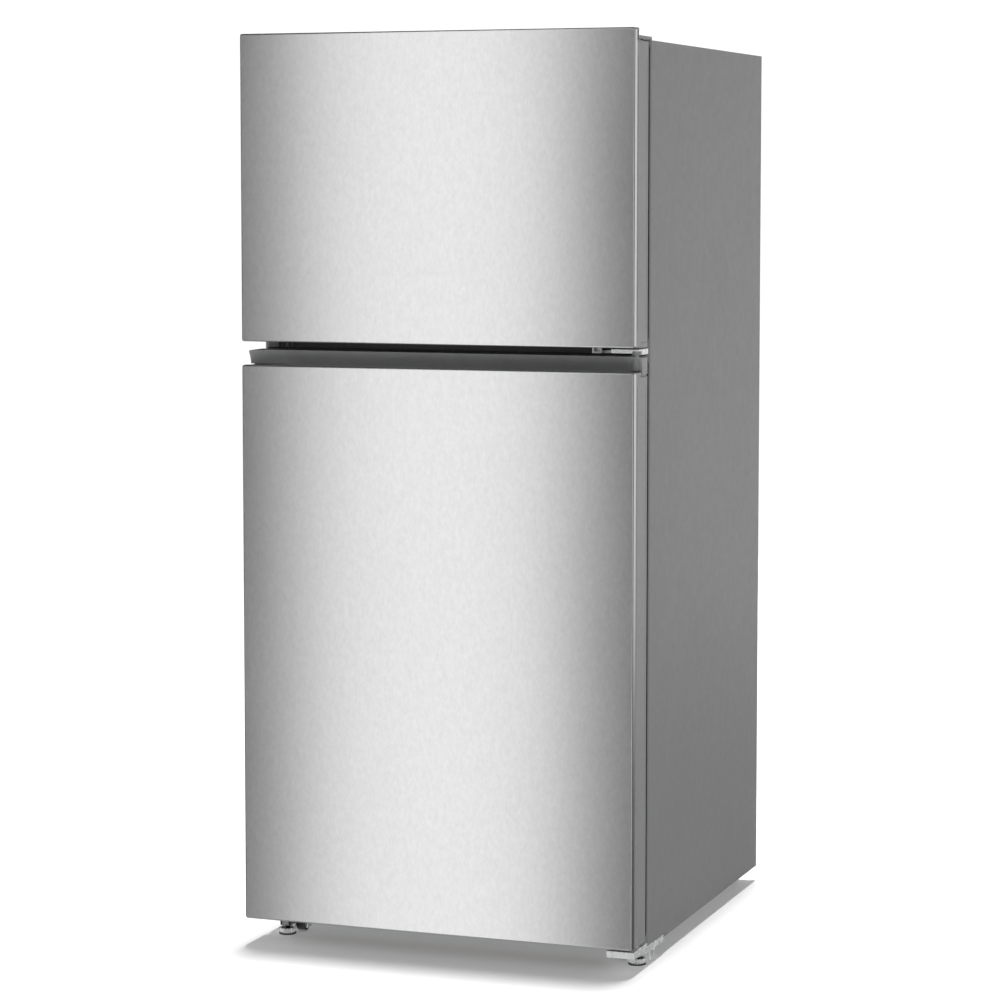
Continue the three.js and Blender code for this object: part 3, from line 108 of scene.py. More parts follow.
# ---------- material building ----------
class Look:
    """One procedural material: a Principled shader and the nodes that feed it."""

    def __init__(self, name, colour, roughness, metallic=0.0, **sockets):
        self.material = bpy.data.materials.new(name)
        self.material.use_nodes = True
        self.tree = self.material.node_tree
        self.shader = self.tree.nodes["Principled BSDF"]
        self.colour = colour
        self.shader.inputs["Base Color"].default_value = (*colour, 1)
        self.shader.inputs["Roughness"].default_value = roughness
        self.shader.inputs["Metallic"].default_value = metallic
        for socket, value in sockets.items():
            self.shader.inputs[socket.replace("_", " ")].default_value = value
        self.place = self.tree.nodes.new("ShaderNodeTexCoord").outputs["Object"]

    def noise(self, scale, detail=3.0, roughness=0.55):
        """Noise in the object's own space; scale is cells per metre, one number or one per axis."""
        mapping = self.tree.nodes.new("ShaderNodeMapping")
        mapping.inputs["Scale"].default_value = scale if isinstance(scale, tuple) else (scale,) * 3
        texture = self.tree.nodes.new("ShaderNodeTexNoise")
        texture.inputs["Scale"].default_value = 1
        texture.inputs["Detail"].default_value = detail
        texture.inputs["Roughness"].default_value = roughness
        self.tree.links.new(self.place, mapping.inputs["Vector"])
        self.tree.links.new(mapping.outputs["Vector"], texture.inputs["Vector"])
        return texture.outputs["Fac"]

    def spread(self, value, low, high, start=0.25, end=0.75):
        """Maps a noise value from start..end on to low..high."""
        node = self.tree.nodes.new("ShaderNodeMapRange")
        node.inputs["From Min"].default_value = start
        node.inputs["From Max"].default_value = end
        node.inputs["To Min"].default_value = low
        node.inputs["To Max"].default_value = high
        self.tree.links.new(value, node.inputs["Value"])
        return node.outputs["Result"]

    def vary_colour(self, value, amount, start=0.25, end=0.75):
        """Makes the colour lighter and darker by a share of itself."""
        brightness = self.spread(value, 1 - amount, 1 + amount, start, end)
        node = self.tree.nodes.new("ShaderNodeVectorMath")
        node.operation = "SCALE"
        source = self.shader.inputs["Base Color"]
        if source.is_linked:
            self.tree.links.new(source.links[0].from_socket, node.inputs[0])
        else:
            node.inputs[0].default_value = self.colour
        self.tree.links.new(brightness, node.inputs["Scale"])
        self.tree.links.new(node.outputs["Vector"], source)
        return self

    def vary_roughness(self, value, low, high):
        """Lets a noise value set the roughness between two limits."""
        self.tree.links.new(self.spread(value, low, high), self.shader.inputs["Roughness"])
        return self

    def bump(self, value, strength, distance):
        """Adds a relief of a noise value, its height in metres, on top of any relief there is."""
        node = self.tree.nodes.new("ShaderNodeBump")
        node.inputs["Strength"].default_value = strength
        node.inputs["Distance"].default_value = distance
        self.tree.links.new(value, node.inputs["Height"])
        previous = self.shader.inputs["Normal"]
        if previous.is_linked:
            self.tree.links.new(previous.links[0].from_socket, node.inputs["Normal"])
        self.tree.links.new(node.outputs["Normal"], previous)
        return self


def stainless():
    """Brushed sheet: fine upright grain, mottled in soft upright flecks."""
    look = Look("stainless", (0.6, 0.6, 0.6), 0.29, 1.0, Anisotropic=0.6, Anisotropic_Rotation=0.25)
    tangent = look.tree.nodes.new("ShaderNodeTangent")
    tangent.direction_type = "RADIAL"
    tangent.axis = "Z"
    look.tree.links.new(tangent.outputs["Tangent"], look.shader.inputs["Tangent"])
    grain = look.noise((420, 420, 150), 2)
    flecks = look.noise((120, 120, 70), 3)
    clouds = look.noise((5, 5, 2.5), 2)
    look.vary_colour(flecks, 0.045).vary_colour(grain, 0.045).vary_colour(clouds, 0.015)
    look.vary_roughness(clouds, 0.275, 0.3)
    return look.bump(flecks, 0.2, 0.00001).material


def cabinet_paint():
    """Sprayed grey enamel with a fine orange peel."""
    look = Look("cabinet_paint", (0.24, 0.24, 0.243), 0.45)
    peel = look.noise(420, 2)
    look.vary_colour(look.noise((4, 4, 3), 3), 0.03)
    look.vary_roughness(look.noise(60, 2), 0.4, 0.5)
    return look.bump(peel, 0.15, 0.0002).material


def frame_paint():
    """The doors' paint: a little paler and smoother than the cabinet's."""
    look = Look("frame_paint", (0.29, 0.29, 0.292), 0.42)
    look.vary_colour(look.noise((9, 9, 5), 3), 0.03)
    look.vary_roughness(look.noise(80, 2), 0.36, 0.47)
    return look.bump(look.noise(500, 2), 0.12, 0.00015).material


def moulded(name, colour, roughness, cells=1400, depth=0.0001, **sockets):
    """Moulded plastic with a fine spark-eroded grain."""
    look = Look(name, colour, roughness, **sockets)
    grain = look.noise((cells, cells, cells), 2)
    look.vary_colour(look.noise(30, 3), 0.05)
    look.vary_roughness(look.noise(200, 2), roughness * 0.85, roughness * 1.15)
    return look.bump(grain, 0.25, depth).material


def grey_plastic():
    """Grey caps and covers."""
    return moulded("grey_plastic", (0.3, 0.302, 0.306), 0.45)


def dark_plastic():
    """Near-black small fittings."""
    return moulded("dark_plastic", (0.018, 0.019, 0.022), 0.4)


def white_plastic():
    """Vacuum-formed lining, glossy and very slightly uneven."""
    look = Look("white_plastic", (0.8, 0.81, 0.81), 0.3, Coat_Weight=0.2, Coat_Roughness=0.2)
    look.vary_colour(look.noise(6, 3), 0.02)
    look.vary_roughness(look.noise(50, 2), 0.26, 0.36)
    return look.bump(look.noise(160, 2), 0.08, 0.00008).material


def clear_plastic():
    """Faintly blue injection-moulded plastic with soft waves in it."""
    look = Look("clear_plastic", (0.86, 0.93, 0.96), 0.08, IOR=1.49, Transmission_Weight=0.85)
    return look.bump(look.noise(90, 2), 0.06, 0.0003).material


def glass():
    """Faintly green float glass, wiped but not quite clean."""
    look = Look("glass", (0.78, 0.92, 0.86), 0.03, IOR=1.5, Transmission_Weight=0.92)
    look.vary_roughness(look.noise(14, 3), 0.02, 0.06)
    return look.material


def gasket():
    """Matt black vinyl; its black is also painted shade for the dark gap between each door and the
    cabinet.
    """
    look = Look("gasket", (0.035, 0.036, 0.038), 0.62)
    look.vary_roughness(look.noise(70, 3), 0.52, 0.7)
    return look.bump(look.noise(900, 2), 0.2, 0.0001).material


def zinc_steel():
    """Bright plating, cloudy where it was handled."""
    look = Look("zinc_steel", (0.84, 0.845, 0.85), 0.26, 0.3)
    clouds = look.noise(45, 3)
    look.vary_colour(clouds, 0.05)
    look.vary_roughness(clouds, 0.22, 0.32)
    return look.bump(look.noise(260, 2), 0.05, 0.00005).material


def black_steel():
    """Black enamel on steel."""
    look = Look("black_steel", (0.012, 0.012, 0.013), 0.35, Coat_Weight=0.4, Coat_Roughness=0.15)
    look.vary_roughness(look.noise(60, 3), 0.28, 0.48)
    return look.bump(look.noise(350, 2), 0.15, 0.0002).material


def galvanised():
    """Zinc-dipped sheet: crystals of slightly different grey."""
    look = Look("galvanised", (0.5, 0.51, 0.52), 0.42, 0.9)
    cells = look.tree.nodes.new("ShaderNodeTexVoronoi")
    cells.inputs["Scale"].default_value = 110
    look.tree.links.new(look.place, cells.inputs["Vector"])
    value = look.tree.nodes.new("ShaderNodeSeparateColor")
    look.tree.links.new(cells.outputs["Color"], value.inputs["Color"])
    look.vary_colour(value.outputs["Red"], 0.06, 0, 1)
    look.vary_roughness(value.outputs["Green"], 0.36, 0.5)
    return look.bump(look.noise(30, 2), 0.1, 0.0006).material


def copper():
    """Drawn pipe, mottled where it has tarnished."""
    look = Look("copper", (0.72, 0.36, 0.2), 0.28, 1.0)
    look.vary_colour(look.noise(60, 4), 0.18)
    look.vary_roughness(look.noise(150, 3), 0.2, 0.45)
    return look.bump(look.noise(400, 2), 0.1, 0.0001).material


def aluminium():
    """Rolled fin stock."""
    look = Look("aluminium", (0.75, 0.76, 0.77), 0.3, 1.0)
    look.vary_colour(look.noise((50, 50, 200), 3), 0.08)
    look.vary_roughness(look.noise(90, 3), 0.25, 0.4)
    return look.bump(look.noise(300, 2), 0.12, 0.0001).material


def foam():
    """Poured insulation with open cells."""
    look = Look("foam", (0.72, 0.58, 0.3), 0.9)
    look.vary_colour(look.noise(80, 4), 0.12)
    return look.bump(look.noise(250, 4), 0.6, 0.001).material


MATERIALS = {
    make.__name__: make()
    for make in (
        stainless,
        cabinet_paint,
        frame_paint,
        grey_plastic,
        dark_plastic,
        white_plastic,
        clear_plastic,
        glass,
        gasket,
        zinc_steel,
        black_steel,
        galvanised,
        copper,
        aluminium,
        foam,
    )
}


# ---------- mesh building ----------
def add_piece(name, bm, slot, body, smooth_angle=35, replaces=()):
    """Makes a shown piece from a bmesh: smooth except at its sharp edges, riding on a body."""
    bmesh.ops.recalc_face_normals(bm, faces=bm.faces)
    mesh = bpy.data.meshes.new(name)
    for face in bm.faces:
        face.smooth = True
    bm.to_mesh(mesh)
    bm.free()
    mesh.set_sharp_from_angle(angle=math.radians(smooth_angle))
    piece = bpy.data.objects.new(name, mesh)
    bpy.context.scene.collection.objects.link(piece)
    mesh.materials.append(MATERIALS[slot])
    weighted = piece.modifiers.new("normals", "WEIGHTED_NORMAL")
    weighted.keep_sharp = True
    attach(piece, body)
    if replaces:
        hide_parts(*replaces)


def refine(node, bevel, segments=2, sharp_angle=35):
    """Stands for a CAD node with the same shape, with its edges softened and its curves smooth."""
    bm = bmesh.new()
    bm.from_mesh(frame["nodes"][node].data)
    bmesh.ops.remove_doubles(bm, verts=bm.verts, dist=2e-6)
    bmesh.ops.dissolve_limit(bm, angle_limit=math.radians(0.5), verts=bm.verts, edges=bm.edges)
    sharp = [
        e
        for e in bm.edges
        if len(e.link_faces) == 2 and e.calc_face_angle() > math.radians(sharp_angle)
    ]
    bmesh.ops.bevel(
        bm,
        geom=sharp,
        offset=bevel,
        segments=segments,
        profile=0.5,
        affect="EDGES",
        clamp_overlap=True,
    )
    add_piece(node + "_shown", bm, SLOT_OF[node], BODY_OF[node], 40, [node])


def rounded_rectangle(half_width, low, high, radius, steps=5):
    """Points of an upright rectangle in X and Z, anticlockwise, with round corners."""
    points = []
    corners = [
        (half_width - radius, low + radius, -90),
        (half_width - radius, high - radius, 0),
        (-half_width + radius, high - radius, 90),
        (-half_width + radius, low + radius, 180),
    ]
    for x, z, start in corners:
        for i in range(steps + 1):
            angle = math.radians(start + 90 * i / steps)
            points.append((x + radius * math.cos(angle), z + radius * math.sin(angle)))
    return points


def loft(bm, rings):
    """Joins rings of equal length with quads and returns the rings of vertices."""
    made = [[bm.verts.new(point) for point in ring] for ring in rings]
    for near, far in zip(made, made[1:]):
        count = len(near)
        for i in range(count):
            j = (i + 1) % count
            bm.faces.new((near[i], near[j], far[j], far[i]))
    return made


def closed_loft(bm, rings):
    """Joins rings of equal length and closes the first and the last of them."""
    made = loft(bm, rings)
    bm.faces.new(made[0])
    bm.faces.new(made[-1])


def door_skin(name):
    """Folded sheet: a flat face whose four edges roll back with a small radius."""
    low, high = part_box(name)
    roll = 3.2 * MM
    corner = 4.4 * MM
    sheet = 1 * MM
    wrap = high.y - low.y

    def ring(inset, depth):
        radius = max(corner - inset, 0.8 * MM)
        outline = rounded_rectangle(high.x - inset, low.z + inset, high.z - inset, radius)
        return [(x, low.y + depth, z) for x, z in outline]

    rings = []
    for i in range(6):
        angle = math.radians(90 * i / 5)
        rings.append(ring(roll * (1 - math.sin(angle)), roll * (1 - math.cos(angle))))
    rings.append(ring(0, wrap - 0.3 * MM))
    rings.append(ring(0.3 * MM, wrap))
    rings.append(ring(sheet, wrap))
    rings.append(ring(sheet, sheet + roll))
    rings.append(ring(sheet + roll, sheet))
    bm = bmesh.new()
    closed_loft(bm, rings)
    add_piece(name + "_shown", bm, "stainless", BODY_OF[name], 50, [name])


door_skin("freezer_door_skin")
door_skin("fridge_door_skin")

# How far the edges of a CAD shape are softened, in millimetres.
BEVELS = {
    "cabinet_wrapper": 0.5,
    "centre_rail": 0.6,
    "top_hinge_cover": 1.2,
    "freezer_door_frame": 0.5,
    "fridge_door_frame": 0.5,
    "freezer_door_top_cap": 0.7,
    "fridge_door_handle_cap": 1.2,
    "freezer_door_bottom_cap": 0.6,
    "fridge_door_bottom_cap": 0.6,
    "freezer_liner": 0.8,
    "fridge_liner": 1.5,
    "freezer_door_liner": 3,
    "fridge_door_liner": 3,
    "evaporator_cover": 0.8,
    "control_housing": 2.5,
    "air_duct": 2,
    "crisper_left": 1,
    "crisper_right": 1,
    "temperature_knob": 0.8,
    "compressor": 1,
    "drain_pan": 0.8,
}
THIN_BEVEL = 0.35

# Nodes with one of these in their name get a shape of their own further on, all but the motors.
BUILT_BY_HAND = ("_skin", "_gasket", "levelling_foot", "roller", "_fan", "freezer_shelf")

for node_name in frame["nodes"]:
    if not any(part in node_name for part in BUILT_BY_HAND) or node_name.endswith("_motor"):
        refine(node_name, BEVELS.get(node_name, THIN_BEVEL) * MM)


# ---------- shared shapes ----------
def spaced(start, end, count):
    """Evenly spaced values from start to end."""
    return [start + i * (end - start) / (count - 1) for i in range(count)]


def circle(middle, along, side, radius, steps):
    """Points of a circle about an axis, the first one towards its side."""
    other = along.cross(side)
    angles = [2 * math.pi * i / steps for i in range(steps)]
    return [middle + (side * math.cos(a) + other * math.sin(a)) * radius for a in angles]


def turned(centre, axis, profile, steps):
    """A ring of points for each (radius, height along the axis) pair of a profile."""
    side = axis.orthogonal().normalized()
    return [circle(centre + axis * height, axis, side, radius, steps) for radius, height in profile]


def lathe(bm, centre, axis, profile, steps=24):
    """A solid of revolution with flat ends."""
    closed_loft(bm, turned(Vector(centre), axis, profile, steps))


def tube(bm, centre, axis, inner, outer, start, end, steps=28):
    """A sleeve between two heights on an axis, with a softened outer edge at its end."""
    edge = (outer - inner) / 4
    section = [
        (outer, start),
        (outer, end - edge),
        (outer - edge, end),
        (inner, end),
        (inner, start),
        (outer, start),
    ]
    loft(bm, turned(Vector(centre), axis, section, steps))
    bmesh.ops.remove_doubles(bm, verts=bm.verts, dist=1e-6)


def soft_block(bm, low, high, bevel):
    """A block between two corners with bevelled edges."""
    low, high = Vector(low), Vector(high)
    place = Matrix.Translation((low + high) / 2) @ Matrix.Diagonal((*(high - low), 1))
    made = bmesh.ops.create_cube(bm, size=1, matrix=place)
    edges = list({e for v in made["verts"] for e in v.link_edges})
    bmesh.ops.bevel(bm, geom=edges, offset=bevel, segments=2, profile=0.5, affect="EDGES")


def bent_path(points, bend, steps=6):
    """A path through straight runs, with each corner turned into a bend."""
    points = [Vector(p) for p in points]
    path = [points[0]]
    for before, corner, after in zip(points, points[1:], points[2:]):
        start = corner + (before - corner).normalized() * min(bend, (before - corner).length / 2)
        end = corner + (after - corner).normalized() * min(bend, (after - corner).length / 2)
        for i in range(steps + 1):
            t = i / steps
            path.append(start * (1 - t) ** 2 + corner * 2 * t * (1 - t) + end * t**2)
    path.append(points[-1])
    return path


def pipe(bm, path, radius, sides=12):
    """A round bar along a path, with its section turned as little as possible from point to point."""
    side = (path[1] - path[0]).orthogonal().normalized()
    rings = []
    for i, point in enumerate(path):
        ahead = (path[min(i + 1, len(path) - 1)] - path[max(i - 1, 0)]).normalized()
        side = (side - ahead * side.dot(ahead)).normalized()
        rings.append(circle(point, ahead, side, radius, sides))
    closed_loft(bm, rings)


def bar(bm, start, end, radius, sides=8):
    """A straight round bar between two points."""
    pipe(bm, [Vector(start), Vector(end)], radius, sides)


def hex_screw(bm, place, axis, radius=4.5 * MM):
    """A hexagonal head on a flat washer."""
    washer = [(radius, -0.2 * MM), (radius, 0.7 * MM), (radius * 0.86, 1 * MM)]
    head = [(radius * 0.68, 0.5 * MM), (radius * 0.68, 3 * MM), (radius * 0.56, 3.5 * MM)]
    lathe(bm, place, axis, washer, 20)
    lathe(bm, place, axis, head, 6)


def pan_screw(bm, place, axis, radius=3.6 * MM):
    """A domed head with a round recess in its middle."""
    profile = [
        (radius, -0.2 * MM),
        (radius, 0.5 * MM),
        (radius * 0.8, 1.3 * MM),
        (radius * 0.42, 1.7 * MM),
        (radius * 0.34, 0.9 * MM),
    ]
    lathe(bm, place, axis, profile, 20)


def screws(name, slot, body, places, axis, make=hex_screw):
    """One piece that holds the same screw at several places."""
    bm = bmesh.new()
    for place in places:
        make(bm, Vector(place), axis)
    add_piece(name, bm, slot, body)


# ---------- gaskets ----------
def gasket_ring(name):
    """A bellows section with a magnet pocket and an outer flap, swept round the door."""
    low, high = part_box(name)
    depth = high.y - low.y
    flap = 13
    corner = 6
    # Millimetres in from the outline, and the share of the depth.
    section = [
        (0.4, 0),
        (0, 0.12),
        (0.2, 0.24),
        (2.6, 0.34),
        (2.6, 0.44),
        (0.3, 0.54),
        (0, 0.66),
        (-flap, 0.78),
        (-flap, 0.84),
        (0.3, 0.86),
        (0.4, 0.94),
        (1.4, 1),
        (14.4, 1),
        (15.4, 0.94),
        (15.8, 0.66),
        (15.4, 0.54),
        (13, 0.46),
        (13, 0.34),
        (15.4, 0.24),
        (15.6, 0.08),
        (15, 0),
    ]
    bm = bmesh.new()
    rings = []
    for inset, share in section + section[:1]:
        reach = inset * MM
        radius = max(1, corner - inset) * MM
        outline = rounded_rectangle(high.x - reach, low.z + reach, high.z - reach, radius)
        rings.append([(x, low.y + share * depth, z) for x, z in outline])
    loft(bm, rings)
    bmesh.ops.remove_doubles(bm, verts=bm.verts, dist=1e-6)
    add_piece(name + "_shown", bm, "gasket", BODY_OF[name], 50, [name])


gasket_ring("freezer_door_gasket")
gasket_ring("fridge_door_gasket")


# ---------- feet and rollers ----------
FOOT_TEETH = 22


def levelling_foot(side):
    """A toothed disc with a dished top, on a threaded stem that ends in the bracket."""
    name = "levelling_foot_" + side
    low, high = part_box(name)
    centre = Vector(((low.x + high.x) / 2, (low.y + high.y) / 2, 0))
    radius = (high.x - low.x) / 2
    disc_top = 12 * MM
    points = FOOT_TEETH * 6

    def ring(inset, height, depth):
        made = []
        for i in range(points):
            angle = 2 * math.pi * i / points
            tooth = 0.5 - 0.5 * math.cos(FOOT_TEETH * angle)
            reach = radius - inset - depth * tooth
            made.append(centre + Vector((reach * math.cos(angle), reach * math.sin(angle), height)))
        return made

    bm = bmesh.new()
    rings = [
        ring(5 * MM, 0, 0),
        ring(3.6 * MM, 1.4 * MM, 0),
        ring(3 * MM, 2.6 * MM, 0.2 * MM),
        ring(0.8 * MM, 5.4 * MM, 2.4 * MM),
        ring(0, disc_top - 2.2 * MM, 2.6 * MM),
        ring(0.8 * MM, disc_top, 1.6 * MM),
        ring(3.6 * MM, disc_top, 0),
        ring(4.4 * MM, disc_top - 1.2 * MM, 0),
        ring(radius - 7 * MM, disc_top - 1.6 * MM, 0),
    ]
    closed_loft(bm, rings)
    add_piece(name + "_shown", bm, "zinc_steel", BODY_OF[name], 40, [name])
    # Two dark discs: one set into the dished top, one under the toothed disc's bottom edge.
    dark = bmesh.new()
    dish = [(radius - 4.6 * MM, disc_top - 2 * MM), (radius - 4.8 * MM, disc_top - 0.9 * MM)]
    lathe(dark, centre, UP, dish, 24)
    pad = [(radius - 1.6 * MM, 0.1 * MM), (radius - 0.8 * MM, 0.6 * MM), (radius - 0.8 * MM, 2.2 * MM)]
    lathe(dark, centre, UP, pad, 32)
    add_piece("foot_dark_discs_" + side, dark, "dark_plastic", BODY_OF[name])
    stem = bmesh.new()
    thread = []
    height = disc_top - 2 * MM
    while height < high.z - 1.2 * MM:
        thread += [(4.1 * MM, height), (4.8 * MM, height + 0.5 * MM), (4.1 * MM, height + 1 * MM)]
        height += 1.2 * MM
    lathe(stem, centre, UP, thread, 20)
    add_piece("foot_stem_" + side, stem, "black_steel", BODY_OF[name])


def roller(name):
    """A dark tyre round a pale hub with a recessed web and a riveted axle end."""
    low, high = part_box(name)
    centre = (low + high) / 2
    radius = (high.z - low.z) / 2
    half = (high.x - low.x) / 2
    bm = bmesh.new()
    tread = [
        (radius * 0.66, -half),
        (radius - 1.6 * MM, -half),
        (radius - 0.5 * MM, -half + 0.6 * MM),
        (radius, -half + 1.8 * MM),
        (radius, half - 1.8 * MM),
        (radius - 0.5 * MM, half - 0.6 * MM),
        (radius - 1.6 * MM, half),
        (radius * 0.66, half),
    ]
    lathe(bm, centre, RIGHT, tread, 40)
    add_piece(name + "_shown", bm, "dark_plastic", BODY_OF[name], 40, [name])
    hub = bmesh.new()
    face = half + 0.3 * MM
    for way in (-1, 1):
        rim = [
            (radius * 0.74, way * (half - 1 * MM)),
            (radius * 0.74, way * face),
            (radius * 0.62, way * face),
            (radius * 0.58, way * (face - 1.2 * MM)),
            (radius * 0.4, way * (face - 1.2 * MM)),
            (radius * 0.36, way * face),
            (radius * 0.28, way * face),
        ]
        lathe(hub, centre, RIGHT, rim, 32)
    add_piece(name + "_hub", hub, "white_plastic", BODY_OF[name])


for side_name in ("left", "right"):
    levelling_foot(side_name)
    roller("front_roller_" + side_name)
    roller("rear_roller_" + side_name)


# ---------- fans ----------
def fan(name, axis, blade_count):
    """A hub with curved, twisted blades that are wide at the tip."""
    low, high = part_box(name)
    centre = (low + high) / 2
    radius = (high.z - low.z) / 2 * 0.98
    half = 9 * MM
    hub_radius = radius * 0.28
    bm = bmesh.new()
    dome = [(hub_radius * 0.94, -half), (hub_radius, -half * 0.8), (hub_radius, half * 0.7)]
    lathe(bm, centre, axis, dome + [(hub_radius * 0.9, half), (hub_radius * 0.3, half * 1.05)], 28)
    along = Vector(axis)
    side = along.orthogonal().normalized()
    other = along.cross(side)
    thickness = 0.8 * MM
    spans = 6
    chords = 6
    for blade in range(blade_count):
        start = 2 * math.pi * blade / blade_count
        rings = []
        for i in range(spans + 1):
            out = i / spans
            reach = hub_radius * 0.9 + (radius - hub_radius * 0.9) * out
            sweep = math.radians(26 + 12 * out)
            ring = []
            for face_way in (1, -1):
                for k in range(chords + 1):
                    share = (k / chords if face_way > 0 else 1 - k / chords) - 0.5
                    angle = start + 2 * share * sweep + 0.35 * out
                    height = -1.7 * share * half * (1 - 0.25 * out) + face_way * thickness
                    arm = side * math.cos(angle) + other * math.sin(angle)
                    ring.append(centre + arm * reach + along * height)
            rings.append(ring)
        closed_loft(bm, rings)
    add_piece(name + "_shown", bm, "dark_plastic", BODY_OF[name], 40, [name])


fan("condenser_fan", RIGHT, 5)
fan("evaporator_fan", BACKWARDS, 4)


# ---------- freezer wire shelf ----------
def wire_shelf():
    """Coated wires: three rails, two side bars and thin wires that turn down at the front."""
    low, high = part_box("freezer_shelf")
    rail = 3.2 * MM
    wire = 1.5 * MM
    z = low.z + rail
    inset = 4 * MM
    bm = bmesh.new()
    for y in (low.y + inset, (low.y + high.y) / 2, high.y - inset):
        bar(bm, (low.x, y, z), (high.x, y, z), rail, 12)
    for x in (low.x + 6 * MM, high.x - 6 * MM):
        bar(bm, (x, low.y + inset, z), (x, high.y - inset, z), rail, 12)
    front = low.y + wire
    top = z + rail + wire
    reach = high.x - 14 * MM
    for x in spaced(-reach, reach, 33):
        run = [(x, front, low.z + wire), (x, front, top), (x, high.y, top)]
        pipe(bm, bent_path(run, 3 * MM, 3), wire, 8)
    body = BODY_OF["freezer_shelf"]
    add_piece("freezer_shelf_shown", bm, "white_plastic", body, 40, ["freezer_shelf"])


wire_shelf()


# ---------- doors ----------
def shade_in_lip_ends():
    """Dark blocks just inside the open ends of the upper door's top lip: painted shade for the dark
    inside of those ends.
    """
    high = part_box("freezer_door_top_cap")[1]
    front = DOOR_FRONT + 3.5 * MM
    back = front + 21 * MM
    bottom = high.z - 19.5 * MM
    top = high.z - 4.6 * MM
    bm = bmesh.new()
    for way in (-1, 1):
        x0, x1 = sorted((way * (high.x - 9 * MM), way * (high.x - 30 * MM)))
        soft_block(bm, (x0, front, bottom), (x1, back, top), 0.4 * MM)
    add_piece("lip_painted_shade", bm, "dark_plastic", "freezer_door")


def side_beads(door):
    """Two shallow upright beads rolled into each painted side of a door."""
    low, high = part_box(door + "_frame")
    bm = bmesh.new()
    end = 26 * MM
    inset = 9 * MM
    proud = 0.45 * MM
    for x in (-high.x, high.x):
        for y in (low.y + inset, high.y - inset):
            bar(bm, (x, y, low.z + end), (x, y, high.z - end), proud)
    add_piece(door + "_side_beads", bm, "frame_paint", door)


def bin_ribs(node, body):
    """A row of slim upright ribs and a rolled rim on the side of a bin that faces the shelves."""
    low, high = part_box(node)
    bm = bmesh.new()
    reach = high.x - 30 * MM
    for x in spaced(-reach, reach, 25):
        bar(bm, (x, high.y, low.z + 10 * MM), (x, high.y, high.z - 16 * MM), 0.9 * MM)
    rim = high.z - 3 * MM
    bar(bm, (-reach, high.y, rim), (reach, high.y, rim), 1.6 * MM, 10)
    add_piece(node + "_ribs", bm, "clear_plastic", body)


def pin_boss():
    """The boss round the centre hinge's pin, which stands a little out of the grip's hollow face."""
    bore = 5.6 * MM
    wall = 2.8 * MM
    bottom = FRIDGE_SKIN_TOP + 0.5 * MM
    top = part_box("fridge_door_handle_cap")[1].z - 1.5 * MM
    bm = bmesh.new()
    tube(bm, (PIN_X, PIN_Y, 0), UP, bore, bore + wall, bottom, top)
    add_piece("fridge_pin_boss", bm, "grey_plastic", "fridge_door")


def liner_panels(door, levels):
    """Raised pads on the inner panel, with soft edges; levels are millimetres above its lower edge."""
    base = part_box(door + "_liner")[0].z
    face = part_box(door + "_frame")[1].y - 1 * MM
    front = face - 2 * MM
    back = face + 3 * MM
    half = 250 * MM
    bm = bmesh.new()
    for bottom, top in levels:
        soft_block(bm, (-half, front, base + bottom * MM), (half, back, base + top * MM), 2.4 * MM)
    add_piece(door + "_liner_pads", bm, "white_plastic", door)


def cap_screws(door):
    """Three screws along an end cap, clear of the hinge pin on the right."""
    low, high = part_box(door + "_frame")
    y = low.y + 14 * MM
    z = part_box(door + "_skin")[0].z + 1.3 * MM
    places = [(share * high.x, y, z) for share in (-0.82, 0, 0.7)]
    screws(door + "_cap_screws", "zinc_steel", door, places, -UP, pan_screw)


shade_in_lip_ends()
pin_boss()
for door_name in ("freezer_door", "fridge_door"):
    side_beads(door_name)
    cap_screws(door_name)
for bin_door in ("freezer_door", "fridge_door"):
    for bin_number in (1, 2):
        bin_ribs("%s_bin_%d" % (bin_door, bin_number), bin_door)
liner_panels("freezer_door", [(80, 150), (330, 420)])
liner_panels("fridge_door", [(80, 240), (400, 520), (680, 760)])


# ---------- hinges and brackets ----------
def centre_hinge_details():
    """The grey sleeve round the pin, and the screws of the flange behind it."""
    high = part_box("centre_hinge")[1]
    plate = FREEZER_SKIN_BOTTOM - 7 * MM
    radius = 7.4 * MM
    sleeve = [
        (radius - 1 * MM, -8.4 * MM),
        (radius, -7.6 * MM),
        (radius, 4.4 * MM),
        (radius - 0.8 * MM, 5.2 * MM),
    ]
    bm = bmesh.new()
    lathe(bm, (PIN_X, PIN_Y, plate), UP, sleeve, 28)
    add_piece("centre_hinge_sleeve", bm, "grey_plastic", "cabinet")
    flange = high.y - 2.2 * MM
    places = [(high.x - inset, flange, plate - 3.5 * MM) for inset in (39 * MM, 23 * MM)]
    screws("centre_hinge_screws", "black_steel", "cabinet", places, -BACKWARDS)


def bottom_hinge_details():
    """Two screws on the angle plate's web and two rivets near the side arm's rear end."""
    low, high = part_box("bottom_hinge")
    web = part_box("cabinet_wrapper")[0].y - 3.4 * MM
    places = [(low.x + inset, web, low.z + 29 * MM) for inset in (26 * MM, 48 * MM)]
    screws("bottom_hinge_screws", "zinc_steel", "cabinet", places, -BACKWARDS)
    arm = high.x - 0.1 * MM
    rivets = [(arm, high.y - 12 * MM, low.z + 23 * MM), (arm, high.y - 48 * MM, low.z + 24 * MM)]
    screws("bottom_hinge_rivets", "zinc_steel", "cabinet", rivets, RIGHT, pan_screw)


def foot_collars():
    """A square grey collar round each foot's stem, made of four blocks."""
    hole = 6 * MM
    half = 10.6 * MM
    bevel = 0.8 * MM
    bm = bmesh.new()
    for side in ("left", "right"):
        low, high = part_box("levelling_foot_" + side)
        x = (low.x + high.x) / 2
        y = (low.y + high.y) / 2
        bottom = high.z - 12 * MM
        top = high.z - 2.2 * MM
        for way in (-1, 1):
            x0, x1 = sorted((x + way * hole, x + way * half))
            soft_block(bm, (x0, y - half, bottom), (x1, y + half, top), bevel)
            y0, y1 = sorted((y + way * hole, y + way * half))
            soft_block(bm, (x - half, y0, bottom), (x + half, y1, top), bevel)
    add_piece("foot_collars", bm, "grey_plastic", "cabinet")


